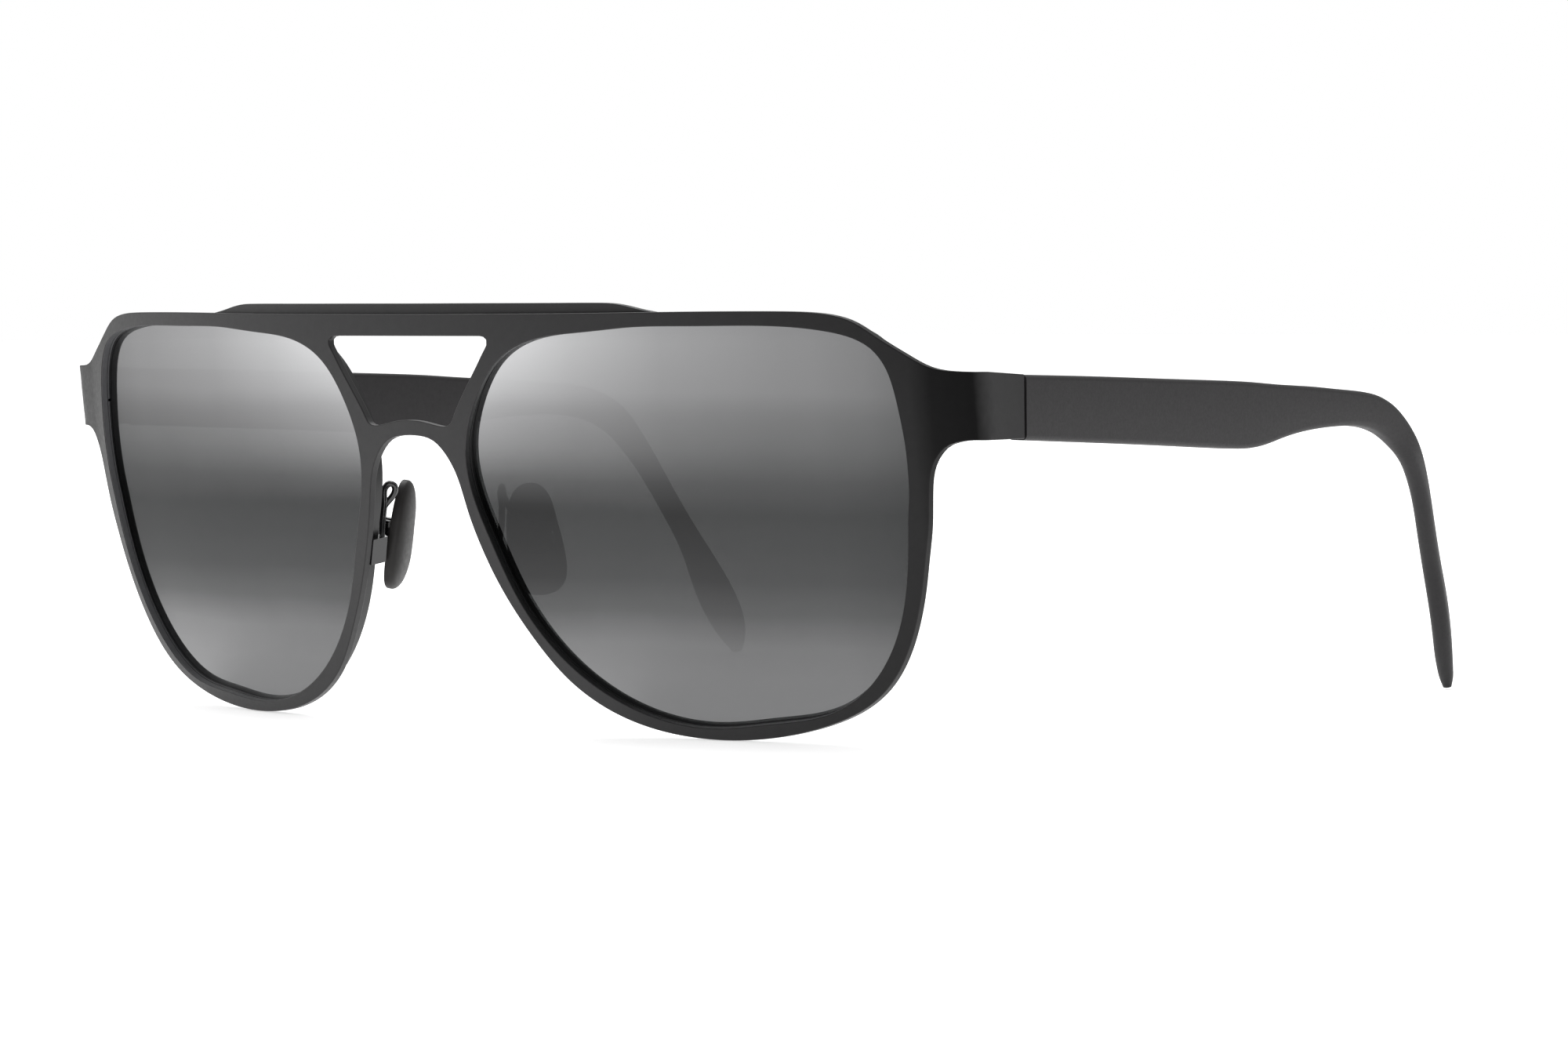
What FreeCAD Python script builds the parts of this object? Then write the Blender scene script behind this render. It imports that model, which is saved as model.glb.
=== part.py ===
import FreeCAD, Part
import os
import math
from FreeCAD import Vector, Placement, Rotation, Matrix

# Aviator sunglasses, standing open on the two rim bottoms and the two temple
# tips.  Units: millimetres.  +Z is up, the front of the glasses faces -Y, the
# temples run towards +Y, and +X is the wearer's left.  The origin lies on the
# ground plane, midway between the temples and midway between the front-most
# and the rear-most point.

doc = FreeCAD.newDocument("aviator_sunglasses")

# ---------------------------------------------------------------- dimensions
sheet = doc.addObject("Spreadsheet::Sheet", "Dimensions")
PARAMS = [
    ("centre_back", 62.4, "front face at the bridge to the origin, along Y"),
    ("face_thick", 0.9, "sheet thickness of the endpieces"),
    ("face_deep", 0.95, "sheet thickness of the front, along Y"),
    ("strip_start", 71.2, "half width where the endpiece strip starts"),
    ("bar_back", 1.9, "rear face of the brow bar behind the front face"),
    ("bend_radius", 1.33, "outside radius of the endpiece bend"),
    ("bend_start", 72.0, "half width where the endpiece bend starts"),
    ("joint_plane", 23.07, "end of the endpiece behind the front face at the bridge"),
    ("lens_radius", 162.336, "radius of the sphere through the rim's front edge"),
    ("lens_front", 1.15, "lens front behind the rim's front edge"),
    ("lens_rear", 1.95, "lens rear behind the rim's front edge"),
    ("lens_bite", 0.42, "depth of the lens edge in the rim groove"),
    ("rim_rear", 2.15, "rim wire rear behind the front edge"),
    ("rim_width", 0.85, "rim wire width outside the lens opening"),
    ("rim_slit", 0.3, "slit in the rim wire at its closing block"),
    ("lock_wide", 3.0, "closing block width"),
    ("lock_deep", 2.4, "closing block depth"),
    ("lock_tall", 2.1, "closing block height, each half"),
    ("rim_screw_r", 0.6, "rim screw shank radius"),
    ("rim_screw_len", 3.9, "rim screw shank length"),
    ("rim_head_r", 0.95, "rim screw head radius"),
    ("rim_head_tall", 0.5, "rim screw head height"),
    ("hinge_x", 69.55, "temple hinge axis from the centre plane"),
    ("hinge_y", 23.15, "temple hinge axis behind the front face at the bridge"),
    ("hinge_z", 37.4, "mid height of the hinge"),
    ("knuckle_r", 1.2, "hinge knuckle radius"),
    ("knuckle_tall", 0.92, "hinge knuckle height"),
    ("knuckle_pitch", 1.0, "hinge knuckle pitch"),
    ("hinge_bore_front", 0.63, "bore radius in the front knuckles"),
    ("hinge_bore_temple", 0.65, "bore radius in the temple knuckles"),
    ("hinge_screw_r", 0.6, "hinge screw shank radius"),
    ("hinge_screw_len", 5.0, "hinge screw shank length"),
    ("hinge_head_r", 1.0, "hinge screw head radius"),
    ("hinge_head_tall", 0.5, "hinge screw head height"),
    ("slot_wide", 0.25, "screwdriver slot width"),
    ("slot_deep", 0.25, "screwdriver slot depth"),
    ("plate_tall", 5.0, "hinge plate height"),
    ("temple_gap", 0.2, "gap between endpiece and temple"),
    ("temple_thick", 2.65, "temple thickness at its front"),
    ("core_scale", 0.34, "metal core size as a share of the temple section"),
    ("pad_thick", 1.95, "nose pad thickness"),
    ("pad_round", 0.95, "rounding of the nose pad's skin side"),
    ("insert_thick", 0.5, "metal insert thickness in the nose pad"),
    ("insert_wide", 3.0, "metal insert width"),
    ("insert_tall", 7.6, "metal insert height"),
    ("tab_wide", 1.0, "nose pad tab width"),
    ("tab_tall", 1.6, "nose pad tab height"),
    ("box_wide", 3.0, "pad box width"),
    ("box_tall", 3.4, "pad box height"),
    ("pad_screw_r", 0.38, "pad screw shank radius"),
    ("pad_bore_r", 0.42, "bore radius in the pad tab"),
    ("pad_wire_r", 0.38, "pad arm wire radius"),
]
for row, (alias, value, note) in enumerate(PARAMS, start=1):
    sheet.set("A%d" % row, alias)
    sheet.set("B%d" % row, str(value))
    sheet.setAlias("B%d" % row, alias)
    sheet.set("C%d" % row, note)
doc.recompute()
D = {alias: float(sheet.get(alias)) for alias, value, note in PARAMS}
YC = D["centre_back"]

# --------------------------------------------------------------- curve data
# Lens opening of the left rim, in the rim's own plane: local x outwards to the
# temple, local y up, origin RIM_C, seen from the front.
OPENING = [
    (26.935, 1.513), (27.026, 3.837), (26.978, 6.201), (26.765, 8.599), (26.399, 11.029), (25.908, 13.505),
    (25.042, 15.909), (23.41, 17.927), (20.882, 19.214), (17.998, 19.887), (15.245, 20.267), (12.707, 20.471),
    (10.384, 20.566), (8.256, 20.601), (6.289, 20.604), (4.449, 20.595), (2.701, 20.585), (1.013, 20.579),
    (-0.644, 20.574), (-2.297, 20.56), (-3.967, 20.523), (-5.67, 20.444), (-7.419, 20.307), (-9.239, 20.127),
    (-11.172, 19.929), (-13.273, 19.724), (-15.601, 19.499), (-18.128, 19.139), (-20.714, 18.475), (-23.167, 17.385),
    (-25.267, 15.814), (-26.931, 13.845), (-28.253, 11.622), (-29.3, 9.232), (-29.953, 6.697), (-30.061, 4.074),
    (-29.636, 1.466), (-28.857, -1.046), (-27.918, -3.447), (-26.979, -5.779), (-26.028, -8.074), (-24.984, -10.326),
    (-23.774, -12.502), (-22.374, -14.569), (-20.792, -16.507), (-19.041, -18.295), (-17.137, -19.915), (-15.096, -21.35),
    (-12.94, -22.587), (-10.691, -23.616), (-8.372, -24.431), (-6.004, -25.027), (-3.611, -25.403), (-1.213, -25.558),
    (1.169, -25.498), (3.522, -25.276), (5.862, -24.982), (8.235, -24.7), (10.669, -24.404), (13.121, -23.936),
    (15.492, -23.147), (17.67, -21.964), (19.606, -20.436), (21.276, -18.632), (22.67, -16.62), (23.795, -14.46),
    (24.672, -12.21), (25.331, -9.914), (25.811, -7.607), (26.158, -5.311), (26.419, -3.032), (26.639, -0.764),
]
RIM_C = (37.9754, 7.4213, 26.5363)
RIM_N = (-0.203597, 0.964078, 0.170593)
RIM_E1 = (0.97842, 0.206626, -0.0)
RIM_E2 = (0.035249, -0.166912, 0.985342)
# Sphere through the front edge of the rim: centre x, y, z
SPHERE = (5.366, 161.834, 53.859)
# Upper edge of the front, from the centre to beyond the endpiece: x, z
TOP = [
    (0.0, 48.093), (6.12, 48.103), (12.75, 48.124), (21.93, 48.154), (29.58, 48.215), (35.7, 48.277),
    (42.738, 48.328), (48.45, 48.328), (52.53, 48.287), (55.488, 48.144), (57.63, 47.838), (59.466, 47.246),
    (61.71, 45.829), (63.24, 44.758), (64.872, 43.687), (66.096, 42.891), (67.269, 42.248), (68.544, 41.851),
    (69.972, 41.677), (71.4, 41.616), (74.46, 41.616), (78.03, 41.616), (81.6, 41.616),
]
# Lower edge, from the endpiece round the rim to the nose arch: x, z
LOW = [
    (81.6, 34.088), (78.03, 34.088), (74.46, 34.088), (72.012, 34.129), (70.686, 34.088), (69.666, 33.884),
    (68.697, 33.476), (67.932, 32.742), (67.32, 31.824), (66.861, 30.702), (66.504, 28.968), (66.198, 26.52),
    (65.841, 24.174), (65.28, 21.726), (64.26, 17.646), (62.832, 13.464), (60.894, 9.588), (58.446, 6.426),
    (55.08, 3.876), (51.102, 2.142), (47.022, 1.02), (42.33, 0.245), (38.25, 0.0), (34.68, 0.102),
    (29.376, 0.847), (23.664, 2.774), (18.564, 6.222), (14.688, 10.945), (11.526, 16.157), (9.068, 21.848),
    (7.874, 25.704), (7.293, 28.152), (6.528, 30.294), (5.253, 32.232), (3.672, 33.558), (1.938, 34.068),
    (0.0, 34.18),
]
# Window between the two bridges, right half from the top corner to the middle
WINDOW = [
    (11.016, 45.594), (11.985, 45.553), (12.546, 45.319), (12.75, 44.931), (12.628, 44.523), (12.138, 43.809),
    (11.414, 42.738), (10.129, 40.902), (9.078, 39.423), (8.119, 38.046), (7.344, 36.822), (6.916, 36.057),
    (6.579, 35.598), (6.12, 35.343), (5.508, 35.261), (4.59, 35.353), (3.366, 35.578), (1.734, 35.853),
    (0.0, 35.945),
]
# Brow bar top line
BROW = [
    (0.0, 49.327), (10.2, 49.337), (20.4, 49.337), (27.54, 49.337), (29.988, 49.246), (31.926, 48.94),
    (33.66, 48.572), (35.088, 48.328), (36.108, 48.144),
]
# Temple stations: centre x, y, z, height, thickness, twist, fixed direction
TEMPLE = [
    (71.301, 23.276, 37.546, 7.201, 2.652, 4.86, [-0.085, 1, 0]),
    (70.097, 37.434, 36.97, 7.436, 2.652, 4.86, [-0.085, 1, 0]),
    (68.736, 53.448, 36.251, 7.65, 2.652, 4.86, [-0.085, 1, 0]),
    (67.707, 65.79, 35.675, 7.864, 2.611, 4.86, [-0.085, 1, 0]),
    (67.197, 71.91, 35.511, 7.579, 2.591, 4.86, [-0.085, 1, 0]),
    (66.698, 78.03, 35.797, 6.212, 2.55, 4.86, [-0.085, 1, 0]),
    (66.12, 85.068, 35.986, 5.059, 2.509, 4.86, [-0.085, 1, 0]),
    (65.731, 89.76, 35.909, 4.519, 2.489, 4.86, [-0.085, 1, 0]),
    (65.264, 95.37, 35.649, 4.233, 2.468, 4.86, None),
    (64.843, 100.572, 34.802, 4.284, 2.428, 6, None),
    (64.624, 103.326, 33.742, 4.304, 2.397, 8, None),
    (64.464, 105.876, 32.181, 4.182, 2.366, 11, None),
    (64.413, 108.018, 30.243, 3.825, 2.326, 15, None),
    (64.107, 109.752, 28.152, 3.468, 2.285, 20, None),
    (63.393, 112.2, 24.429, 3.08, 2.244, 28, None),
    (62.495, 114.546, 20.298, 3.04, 2.244, 30, None),
    (61.373, 117.606, 14.892, 3.57, 2.244, 32, None),
    (60.741, 119.646, 10.914, 4.59, 2.275, 34.3, None),
    (60.027, 121.482, 7.038, 5.049, 2.264, 35, None),
    (59.568, 122.502, 4.794, 4.692, 2.193, 35, None),
    (59.282, 123.267, 2.856, 3.774, 1.989, 35, None),
    (59.16, 123.726, 1.326, 2.55, 1.632, 35, None),
    (59.14, 123.93, 0.204, 1.224, 1.02, 35, None),
]
# Nose pad outline: towards the lens, up
PAD = [
    (0.0, 6.65), (-1.5, 6.3), (-2.45, 5.1), (-3.0, 2.6), (-3.4, 0), (-3.6, -2.5),
    (-3.4, -4.5), (-2.4, -5.95), (-0.7, -6.45), (1.1, -6.2), (2.4, -5.2), (3.0, -3.5),
    (3.15, -1.0), (3.0, 1.5), (2.6, 3.8), (1.9, 5.4), (1.0, 6.35),
]
# Pad arm line: first part in the row frame, second in the pad frame
ARM_FIXED = [
    (9.36, 5.18, 21.4), (9.5, 5.4, 22.4), (9.6, 5.58, 23.4), (9.58, 5.75, 24.9), (9.5, 5.83, 26.3),
]
ARM_PAD = [
    (3.65, 5.45, -1.95), (3.4, 6.15, -1.75), (3.2, 6.4, -1.35), (3.05, 6.1, -0.92), (2.98, 5.4, -0.85), (2.9, 4.65, -1.2),
    (2.75, 3.85, -1.75), (2.3, 3.0, -2.15), (1.7, 2.3, -2.35), (1.2, 1.5, -2.4),
]

# ------------------------------------------------------------------ helpers
def ref(alias):
    return "Dimensions." + alias


def bind(obj, **props):
    for name, expr in props.items():
        obj.setExpression(name, expr)
    return obj


def feature(name, shape):
    obj = doc.addObject("Part::Feature", name)
    obj.Shape = shape
    return obj


def boolean(kind, name, base, tool):
    obj = doc.addObject("Part::" + kind, name)
    obj.Base = base
    obj.Tool = tool
    return obj


def fuse(name, shapes):
    obj = doc.addObject("Part::MultiFuse", name)
    obj.Shapes = shapes
    return obj


def face_y(x, z):
    """Front face of the sunglasses: wrap, forward tilt and gentle crown."""
    h = 40.8 - z
    x2 = x * x
    return x2 / 515.604 + 1.8296e-7 * x2 * x2 + 0.04993 * h + 3.9438e-3 * h * h + 7.8697e-6 * x2 * h - YC


def mean_pairs(v):
    total, count = 0.0, 0
    for i in range(len(v)):
        for j in range(i + 1, len(v)):
            total += v[i] * v[j]
            count += 1
    return total / count


def rise(h0, h1, j, x2):
    """Height part of the face as quadratic control values, j = 0, 1, 2."""
    hs = [h0] * (2 - j) + [h1] * j
    return (0.04993 + 7.8697e-6 * x2) * (hs[0] + hs[1]) / 2.0 + 3.9438e-3 * hs[0] * hs[1]


Z_LOW, Z_HIGH = -1.5, 51.0


def face_patch(half, off, deep):
    """The front face as one patch over x = -half..half, moved back by off and
    given a depth along Y."""
    net = []
    for i in range(5):
        xs = [-half] * (4 - i) + [half] * i
        x2 = mean_pairs(xs)
        x4 = xs[0] * xs[1] * xs[2] * xs[3]
        row = []
        for j in range(3):
            y = x2 / 515.604 + 1.8296e-7 * x4 + rise(40.8 - Z_LOW, 40.8 - Z_HIGH, j, x2) - YC + off
            row.append(Vector(sum(xs) / 4.0, y, Z_LOW + (Z_HIGH - Z_LOW) * j / 2.0))
        net.append(row)
    surf = Part.BSplineSurface()
    surf.buildFromPolesMultsKnots(net, (5, 5), (3, 3), (0.0, 1.0), (0.0, 1.0), False, False, 4, 2)
    return surf.toShape().extrude(Vector(0, deep, 0))


def endpiece_strip(side):
    """Bent strip that carries the front round to the temple joint."""
    xs, xb, rb, th = D["strip_start"], D["bend_start"], D["bend_radius"], D["face_thick"]
    a1 = math.radians(91.2)

    def plan(x):
        return x * x / 515.604 + 1.8296e-7 * x ** 4 - YC

    a = math.atan((plan(xb + 0.01) - plan(xb - 0.01)) / 0.02)
    c = Vector(xb - rb * math.sin(a), plan(xb) + rb * math.cos(a), 0)

    def on(r, t):
        return c + Vector(r * math.sin(t), -r * math.cos(t), 0)

    ri = rb - th
    run = Vector(math.cos(a1), math.sin(a1), 0) * 11.0
    p0 = Vector(xs, plan(xs), 0)
    p7 = p0 + Vector(0, D["face_deep"], 0)
    segs = [
        Part.LineSegment(p0, on(rb, a)),
        Part.Arc(on(rb, a), on(rb, (a + a1) / 2), on(rb, a1)),
        Part.LineSegment(on(rb, a1), on(rb, a1) + run),
        Part.LineSegment(on(rb, a1) + run, on(ri, a1) + run),
        Part.LineSegment(on(ri, a1) + run, on(ri, a1)),
        Part.Arc(on(ri, a1), on(ri, (a + a1) / 2), on(ri, a)),
        Part.LineSegment(on(ri, a), p7),
        Part.LineSegment(p7, p0),
    ]
    z0, z1 = 33.0, 43.0
    faces = []
    ends = [[], []]
    for seg in segs:
        b = seg.toBSpline()
        net = []
        for pole in b.getPoles():
            net.append([Vector(pole.x * side, pole.y + rise(40.8 - z0, 40.8 - z1, j, xs * xs), z0 + (z1 - z0) * j / 2.0) for j in range(3)])
        weights = [[w] * 3 for w in b.getWeights()]
        surf = Part.BSplineSurface()
        surf.buildFromPolesMultsKnots(net, b.getMultiplicities(), (3, 3), b.getKnots(), (0.0, 1.0), False, False, b.Degree, 2, weights)
        faces.append(surf.toShape())
        ends[0].append(surf.vIso(0.0).toShape())
        ends[1].append(surf.vIso(1.0).toShape())
    for e in ends:
        faces.append(Part.Face(Part.Wire(e)))
    return closed_solid(faces)


def closed_solid(faces):
    shell = Part.Shell(faces)
    shell.sewShape()
    solid = Part.Solid(Part.Shell(shell.Faces))
    if solid.Volume < 0:
        solid.reverse()
    return solid


def chord(points):
    total = [0.0]
    for a, b in zip(points, points[1:]):
        total.append(total[-1] + (b - a).Length)
    return [v / total[-1] for v in total]


def tube(stations, centres):
    """Solid skinned over matching sections.  A section is a closed run of
    pieces, each a list of two points (a line) or three (a quadratic arc)."""
    vpar = chord(centres)
    faces = []
    ends = [[], []]
    for k in range(len(stations[0])):
        deg = len(stations[0][k]) - 1
        net = []
        v = None
        for j in range(deg + 1):
            v = Part.BSplineCurve()
            v.interpolate(Points=[st[k][j] for st in stations], Parameters=vpar)
            net.append(v.getPoles())
        surf = Part.BSplineSurface()
        surf.buildFromPolesMultsKnots(net, (deg + 1, deg + 1), v.getMultiplicities(), (0.0, 1.0), v.getKnots(),
                                      False, False, deg, v.Degree)
        faces.append(surf.toShape())
        ends[0].append(surf.vIso(v.getKnots()[0]).toShape())
        ends[1].append(surf.vIso(v.getKnots()[-1]).toShape())
    for e in ends:
        faces.append(Part.Face(Part.Wire(e)))
    return closed_solid(faces)


def round_section(c, nx, ny, r):
    """Round section of eight quadratic arcs."""
    out = []
    for k in range(8):
        pts = []
        for a, q in ((45.0 * k, r), (45.0 * k + 22.5, r / math.cos(math.radians(22.5))), (45.0 * k + 45.0, r)):
            a = math.radians(a)
            pts.append(c + nx * (q * math.cos(a)) + ny * (q * math.sin(a)))
        out.append(pts)
    return out


def spline_edge(pts, tangents=None):
    c = Part.BSplineCurve()
    c.interpolate(pts)
    return c


def sketch(name, curves, place=None):
    sk = doc.addObject("Sketcher::SketchObject", name)
    for c in curves:
        sk.addGeometry(c, False)
    if place is not None:
        sk.Placement = place
    return sk


def extrusion(name, profile, forward, reverse=None):
    ex = doc.addObject("Part::Extrusion", name)
    ex.Base = profile
    ex.DirMode = "Normal"
    ex.Solid = True
    ex.LengthFwd = forward
    if reverse is not None:
        ex.LengthRev = reverse
    return ex


def mirrored(source, name):
    m = doc.addObject("Part::Mirroring", name)
    m.Source = source
    m.Base = Vector(0, 0, 0)
    m.Normal = Vector(1, 0, 0)
    return m


def frame_placement(origin, ex, ey, ez):
    m = Matrix(ex.x, ey.x, ez.x, origin.x,
               ex.y, ey.y, ez.y, origin.y,
               ex.z, ey.z, ez.z, origin.z,
               0, 0, 0, 1)
    return Placement(m)


nodes = {}


def node(label, obj):
    obj.Label = label
    nodes[label] = obj
    return obj


def pair(left_label, obj):
    """Names the left piece and adds its mirror image on the right."""
    node(left_label, obj)
    right_label = left_label.replace("_left", "_right")
    node(right_label, mirrored(obj, right_label + "_mirror"))
    return obj


# XZ sketch plane looking from the front: local x = +X, local y = +Z, normal -Y
XZ = Placement(Vector(0, 0, 0), Rotation(Vector(1, 0, 0), 90))

# ------------------------------------------------------- front sheet outline
patch = feature("front_patch", face_patch(D["strip_start"], 0.0, D["face_deep"]))
strip_l = feature("endpiece_left_blank", endpiece_strip(1.0))
strip_r = feature("endpiece_right_blank", endpiece_strip(-1.0))
sheet_full = fuse("front_sheet_blank", [patch, strip_l, strip_r])
zone = feature("sheet_zone", face_patch(82.0, -3.0, 3.0 + D["face_deep"]))

half_top = [Vector(x, z, 0) for x, z in TOP]
half_low = [Vector(x, z, 0) for x, z in LOW]
top_pts = [Vector(-p.x, p.y, 0) for p in reversed(half_top[1:])] + half_top
low_pts = half_low + [Vector(-p.x, p.y, 0) for p in reversed(half_low[:-1])]
outline = sketch("front_outline", [
    spline_edge(top_pts),
    Part.LineSegment(top_pts[-1], low_pts[0]),
    spline_edge(low_pts),
    Part.LineSegment(low_pts[-1], top_pts[0]),
], XZ)
outline_tool = extrusion("front_outline_tool", outline, YC + 5.0)
# the prism runs from in front of the sheet back to the end of the endpieces
outline_tool.setExpression("LengthRev", "Dimensions.joint_plane - Dimensions.centre_back")

win = [Vector(x, z, 0) for x, z in WINDOW]
win_right = win
win_left = [Vector(-p.x, p.y, 0) for p in reversed(win[:-1])]
window = sketch("bridge_window", [
    spline_edge(win_right + win_left),
    Part.LineSegment(win_left[-1], win_right[0]),
], XZ)
window_tool = extrusion("bridge_window_tool", window, YC + 10.0)

# rim frame: local x outwards, local y up, normal to the front
RIM_O = Vector(RIM_C[0], RIM_C[1] - YC, RIM_C[2])
e1 = Vector(*RIM_E1)
e2 = Vector(*RIM_E2)
rim_n = Vector(*RIM_N)
rim_place = frame_placement(RIM_O, e1, e2, e1.cross(e2))
op_curve = Part.BSplineCurve()
op_curve.interpolate([Vector(a, b, 0) for a, b in OPENING], PeriodicFlag=True)
opening = sketch("lens_opening", [op_curve], rim_place)
opening_tool = extrusion("lens_opening_tool", opening, 12.0, 12.0)


def grown(name, amount):
    """Opening line moved outwards by an amount, as a sketch in the rim plane."""
    pts = []
    n = len(OPENING)
    for i in range(n):
        u = op_curve.parameter(Vector(OPENING[i][0], OPENING[i][1], 0))
        t = op_curve.tangent(u)[0]
        nrm = Vector(t.y, -t.x, 0)
        if nrm.dot(Vector(OPENING[i][0], OPENING[i][1], 0)) < 0:
            nrm = nrm * -1
        nrm.normalize()
        pts.append(Vector(OPENING[i][0], OPENING[i][1], 0) + nrm * amount)
    c = Part.BSplineCurve()
    c.interpolate(pts, PeriodicFlag=True)
    return sketch(name, [c], rim_place)


lens_edge = grown("lens_edge_line", D["lens_bite"])
rim_edge = grown("rim_outer_line", D["rim_width"])
lens_tool = extrusion("lens_edge_tool", lens_edge, 12.0, 12.0)
rim_tool = extrusion("rim_outer_tool", rim_edge, 12.0, 12.0)
doc.recompute()

opening_tool_r = mirrored(opening_tool, "lens_opening_tool_right")
rim_tool_r = mirrored(rim_tool, "rim_outer_tool_right")

blank = boolean("Common", "front_blank", sheet_full, outline_tool)
cut_win = boolean("Cut", "front_windowed", blank, window_tool)
cut_l = boolean("Cut", "front_open_left", cut_win, opening_tool)
cut_r = boolean("Cut", "front_open_both", cut_l, opening_tool_r)
# the top of each endpiece drops gently towards the temple
trim = sketch("endpiece_trim_line", [
    Part.LineSegment(Vector(15.6 - YC, 41.66, 0), Vector(24.2 - YC, 41.12, 0)),
    Part.LineSegment(Vector(24.2 - YC, 41.12, 0), Vector(24.2 - YC, 43.0, 0)),
    Part.LineSegment(Vector(24.2 - YC, 43.0, 0), Vector(15.6 - YC, 43.0, 0)),
    Part.LineSegment(Vector(15.6 - YC, 43.0, 0), Vector(15.6 - YC, 41.66, 0)),
], Placement(Vector(0, 0, 0), Rotation(Vector(1, 1, 1), 120)))
trim_tool = extrusion("endpiece_trim", trim, 80.0, 80.0)
front = boolean("Cut", "front_sheet", cut_r, trim_tool)
node("front_frame", front)

# ------------------------------------------------------------ brow bar
bar_slab = feature("bar_blank", face_patch(60.0, D["face_deep"], D["bar_back"] - D["face_deep"]))
bh = [Vector(x, z, 0) for x, z in BROW]
bar_top = [Vector(-p.x, p.y, 0) for p in reversed(bh[1:])] + bh
foot = 47.05
bar_line = sketch("brow_bar_line", [
    spline_edge(bar_top),
    Part.LineSegment(bar_top[-1], Vector(bar_top[-1].x, foot, 0)),
    Part.LineSegment(Vector(bar_top[-1].x, foot, 0), Vector(-bar_top[-1].x, foot, 0)),
    Part.LineSegment(Vector(-bar_top[-1].x, foot, 0), bar_top[0]),
], XZ)
bar_tool = extrusion("brow_bar_tool", bar_line, YC + 10.0)
bar0 = boolean("Common", "brow_bar_raw", bar_slab, bar_tool)
bar1 = boolean("Cut", "brow_bar_left_fit", bar0, rim_tool)
bar2 = boolean("Cut", "brow_bar_fit", bar1, rim_tool_r)
node("brow_bar", bar2)

# ------------------------------------------------------------ lens and rim
SPH_C = Vector(SPHERE[0], SPHERE[1] - YC, SPHERE[2])


def ball(name, expr):
    s = doc.addObject("Part::Sphere", name)
    s.Placement = Placement(SPH_C, Rotation(Vector(0, 1, 0), 90))
    s.setExpression("Radius", expr)
    return s


ball_front = ball("lens_front_ball", "Dimensions.lens_radius - Dimensions.lens_front")
ball_rear = ball("lens_rear_ball", "Dimensions.lens_radius - Dimensions.lens_rear")
ball_rim = ball("rim_rear_ball", "Dimensions.lens_radius - Dimensions.rim_rear")
lens_disc = boolean("Common", "lens_disc", lens_tool, ball_front)
lens = boolean("Cut", "lens_shell", lens_disc, ball_rear)
pair("lens_left", lens)

ring0 = boolean("Cut", "rim_ring", rim_tool, opening_tool)
ring1 = boolean("Cut", "rim_ring_rear", ring0, ball_rim)
ball_limit = ball("rim_front_ball", "Dimensions.lens_radius + 1")
ring2 = boolean("Common", "rim_ring_limit", ring1, ball_limit)
ring3 = boolean("Cut", "rim_ring_front", ring2, zone)
ring4 = boolean("Cut", "rim_ring_grooved", ring3, lens)

# closing block behind the endpiece: two halves either side of the slit
LOCK_Z = 37.4
LOCK_A = 25.0
lock_p = Vector(65.15, face_y(65.15, LOCK_Z) + 0.55, LOCK_Z)
slit = doc.addObject("Part::Box", "rim_slit_tool")
slit.Length, slit.Width = 4.0, 6.0
bind(slit, Height=ref("rim_slit"))
slit.Placement = Placement(Vector(62.9, lock_p.y - 2.5, LOCK_Z - D["rim_slit"] / 2), Rotation(Vector(0, 0, 1), LOCK_A))
eyewire = boolean("Cut", "rim_wire", ring4, slit)
pair("eyewire_left", eyewire)

rim_screw_shank = doc.addObject("Part::Cylinder", "rim_screw_shank")
bind(rim_screw_shank, Radius=ref("rim_screw_r"), Height=ref("rim_screw_len"))
rot = Rotation(Vector(0, 0, 1), LOCK_A)
screw_at = lock_p + rot.multVec(Vector(2.05, 1.5, 0))
rim_screw_shank.Placement = Placement(Vector(screw_at.x, screw_at.y, LOCK_Z + 2.2 - D["rim_screw_len"]), Rotation())
rim_screw_head = doc.addObject("Part::Cylinder", "rim_screw_head")
bind(rim_screw_head, Radius=ref("rim_head_r"), Height=ref("rim_head_tall"))
rim_screw_head.Placement = Placement(Vector(screw_at.x, screw_at.y, LOCK_Z + 2.2), Rotation())
rim_screw0 = fuse("rim_screw_solid", [rim_screw_shank, rim_screw_head])
rim_slot = doc.addObject("Part::Box", "rim_screw_slot")
rim_slot.Length = 3.0
bind(rim_slot, Width=ref("slot_wide"), Height="Dimensions.slot_deep + 1")
rim_slot.Placement = Placement(Vector(screw_at.x - 1.5, screw_at.y - D["slot_wide"] / 2, LOCK_Z + 2.2 + D["rim_head_tall"] - D["slot_deep"]), Rotation())
rim_screw = boolean("Cut", "rim_screw_slotted", rim_screw0, rim_slot)
pair("rim_screw_left", rim_screw)

for part_name, z0 in (("upper", LOCK_Z + D["rim_slit"] / 2), ("lower", LOCK_Z - D["rim_slit"] / 2 - D["lock_tall"])):
    blk = doc.addObject("Part::Box", "lock_block_" + part_name)
    bind(blk, Length=ref("lock_wide"), Width=ref("lock_deep"), Height=ref("lock_tall"))
    blk.Placement = Placement(Vector(lock_p.x, lock_p.y, z0), rot)
    b1 = boolean("Cut", "lock_fit_sheet_" + part_name, blk, zone)
    b2 = boolean("Cut", "lock_fit_rim_" + part_name, b1, rim_tool)
    b3 = boolean("Cut", "lock_bored_" + part_name, b2, rim_screw0)
    pair("rim_lock_%s_left" % part_name, b3)

# ------------------------------------------------------------ temple hinge
HX, HY, HZ = D["hinge_x"], D["hinge_y"] - YC, D["hinge_z"]
JY = D["joint_plane"] - YC
n_knuckles = 5
pitch = D["knuckle_pitch"]
z_first = HZ - pitch * n_knuckles / 2 + (pitch - D["knuckle_tall"]) / 2


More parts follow.
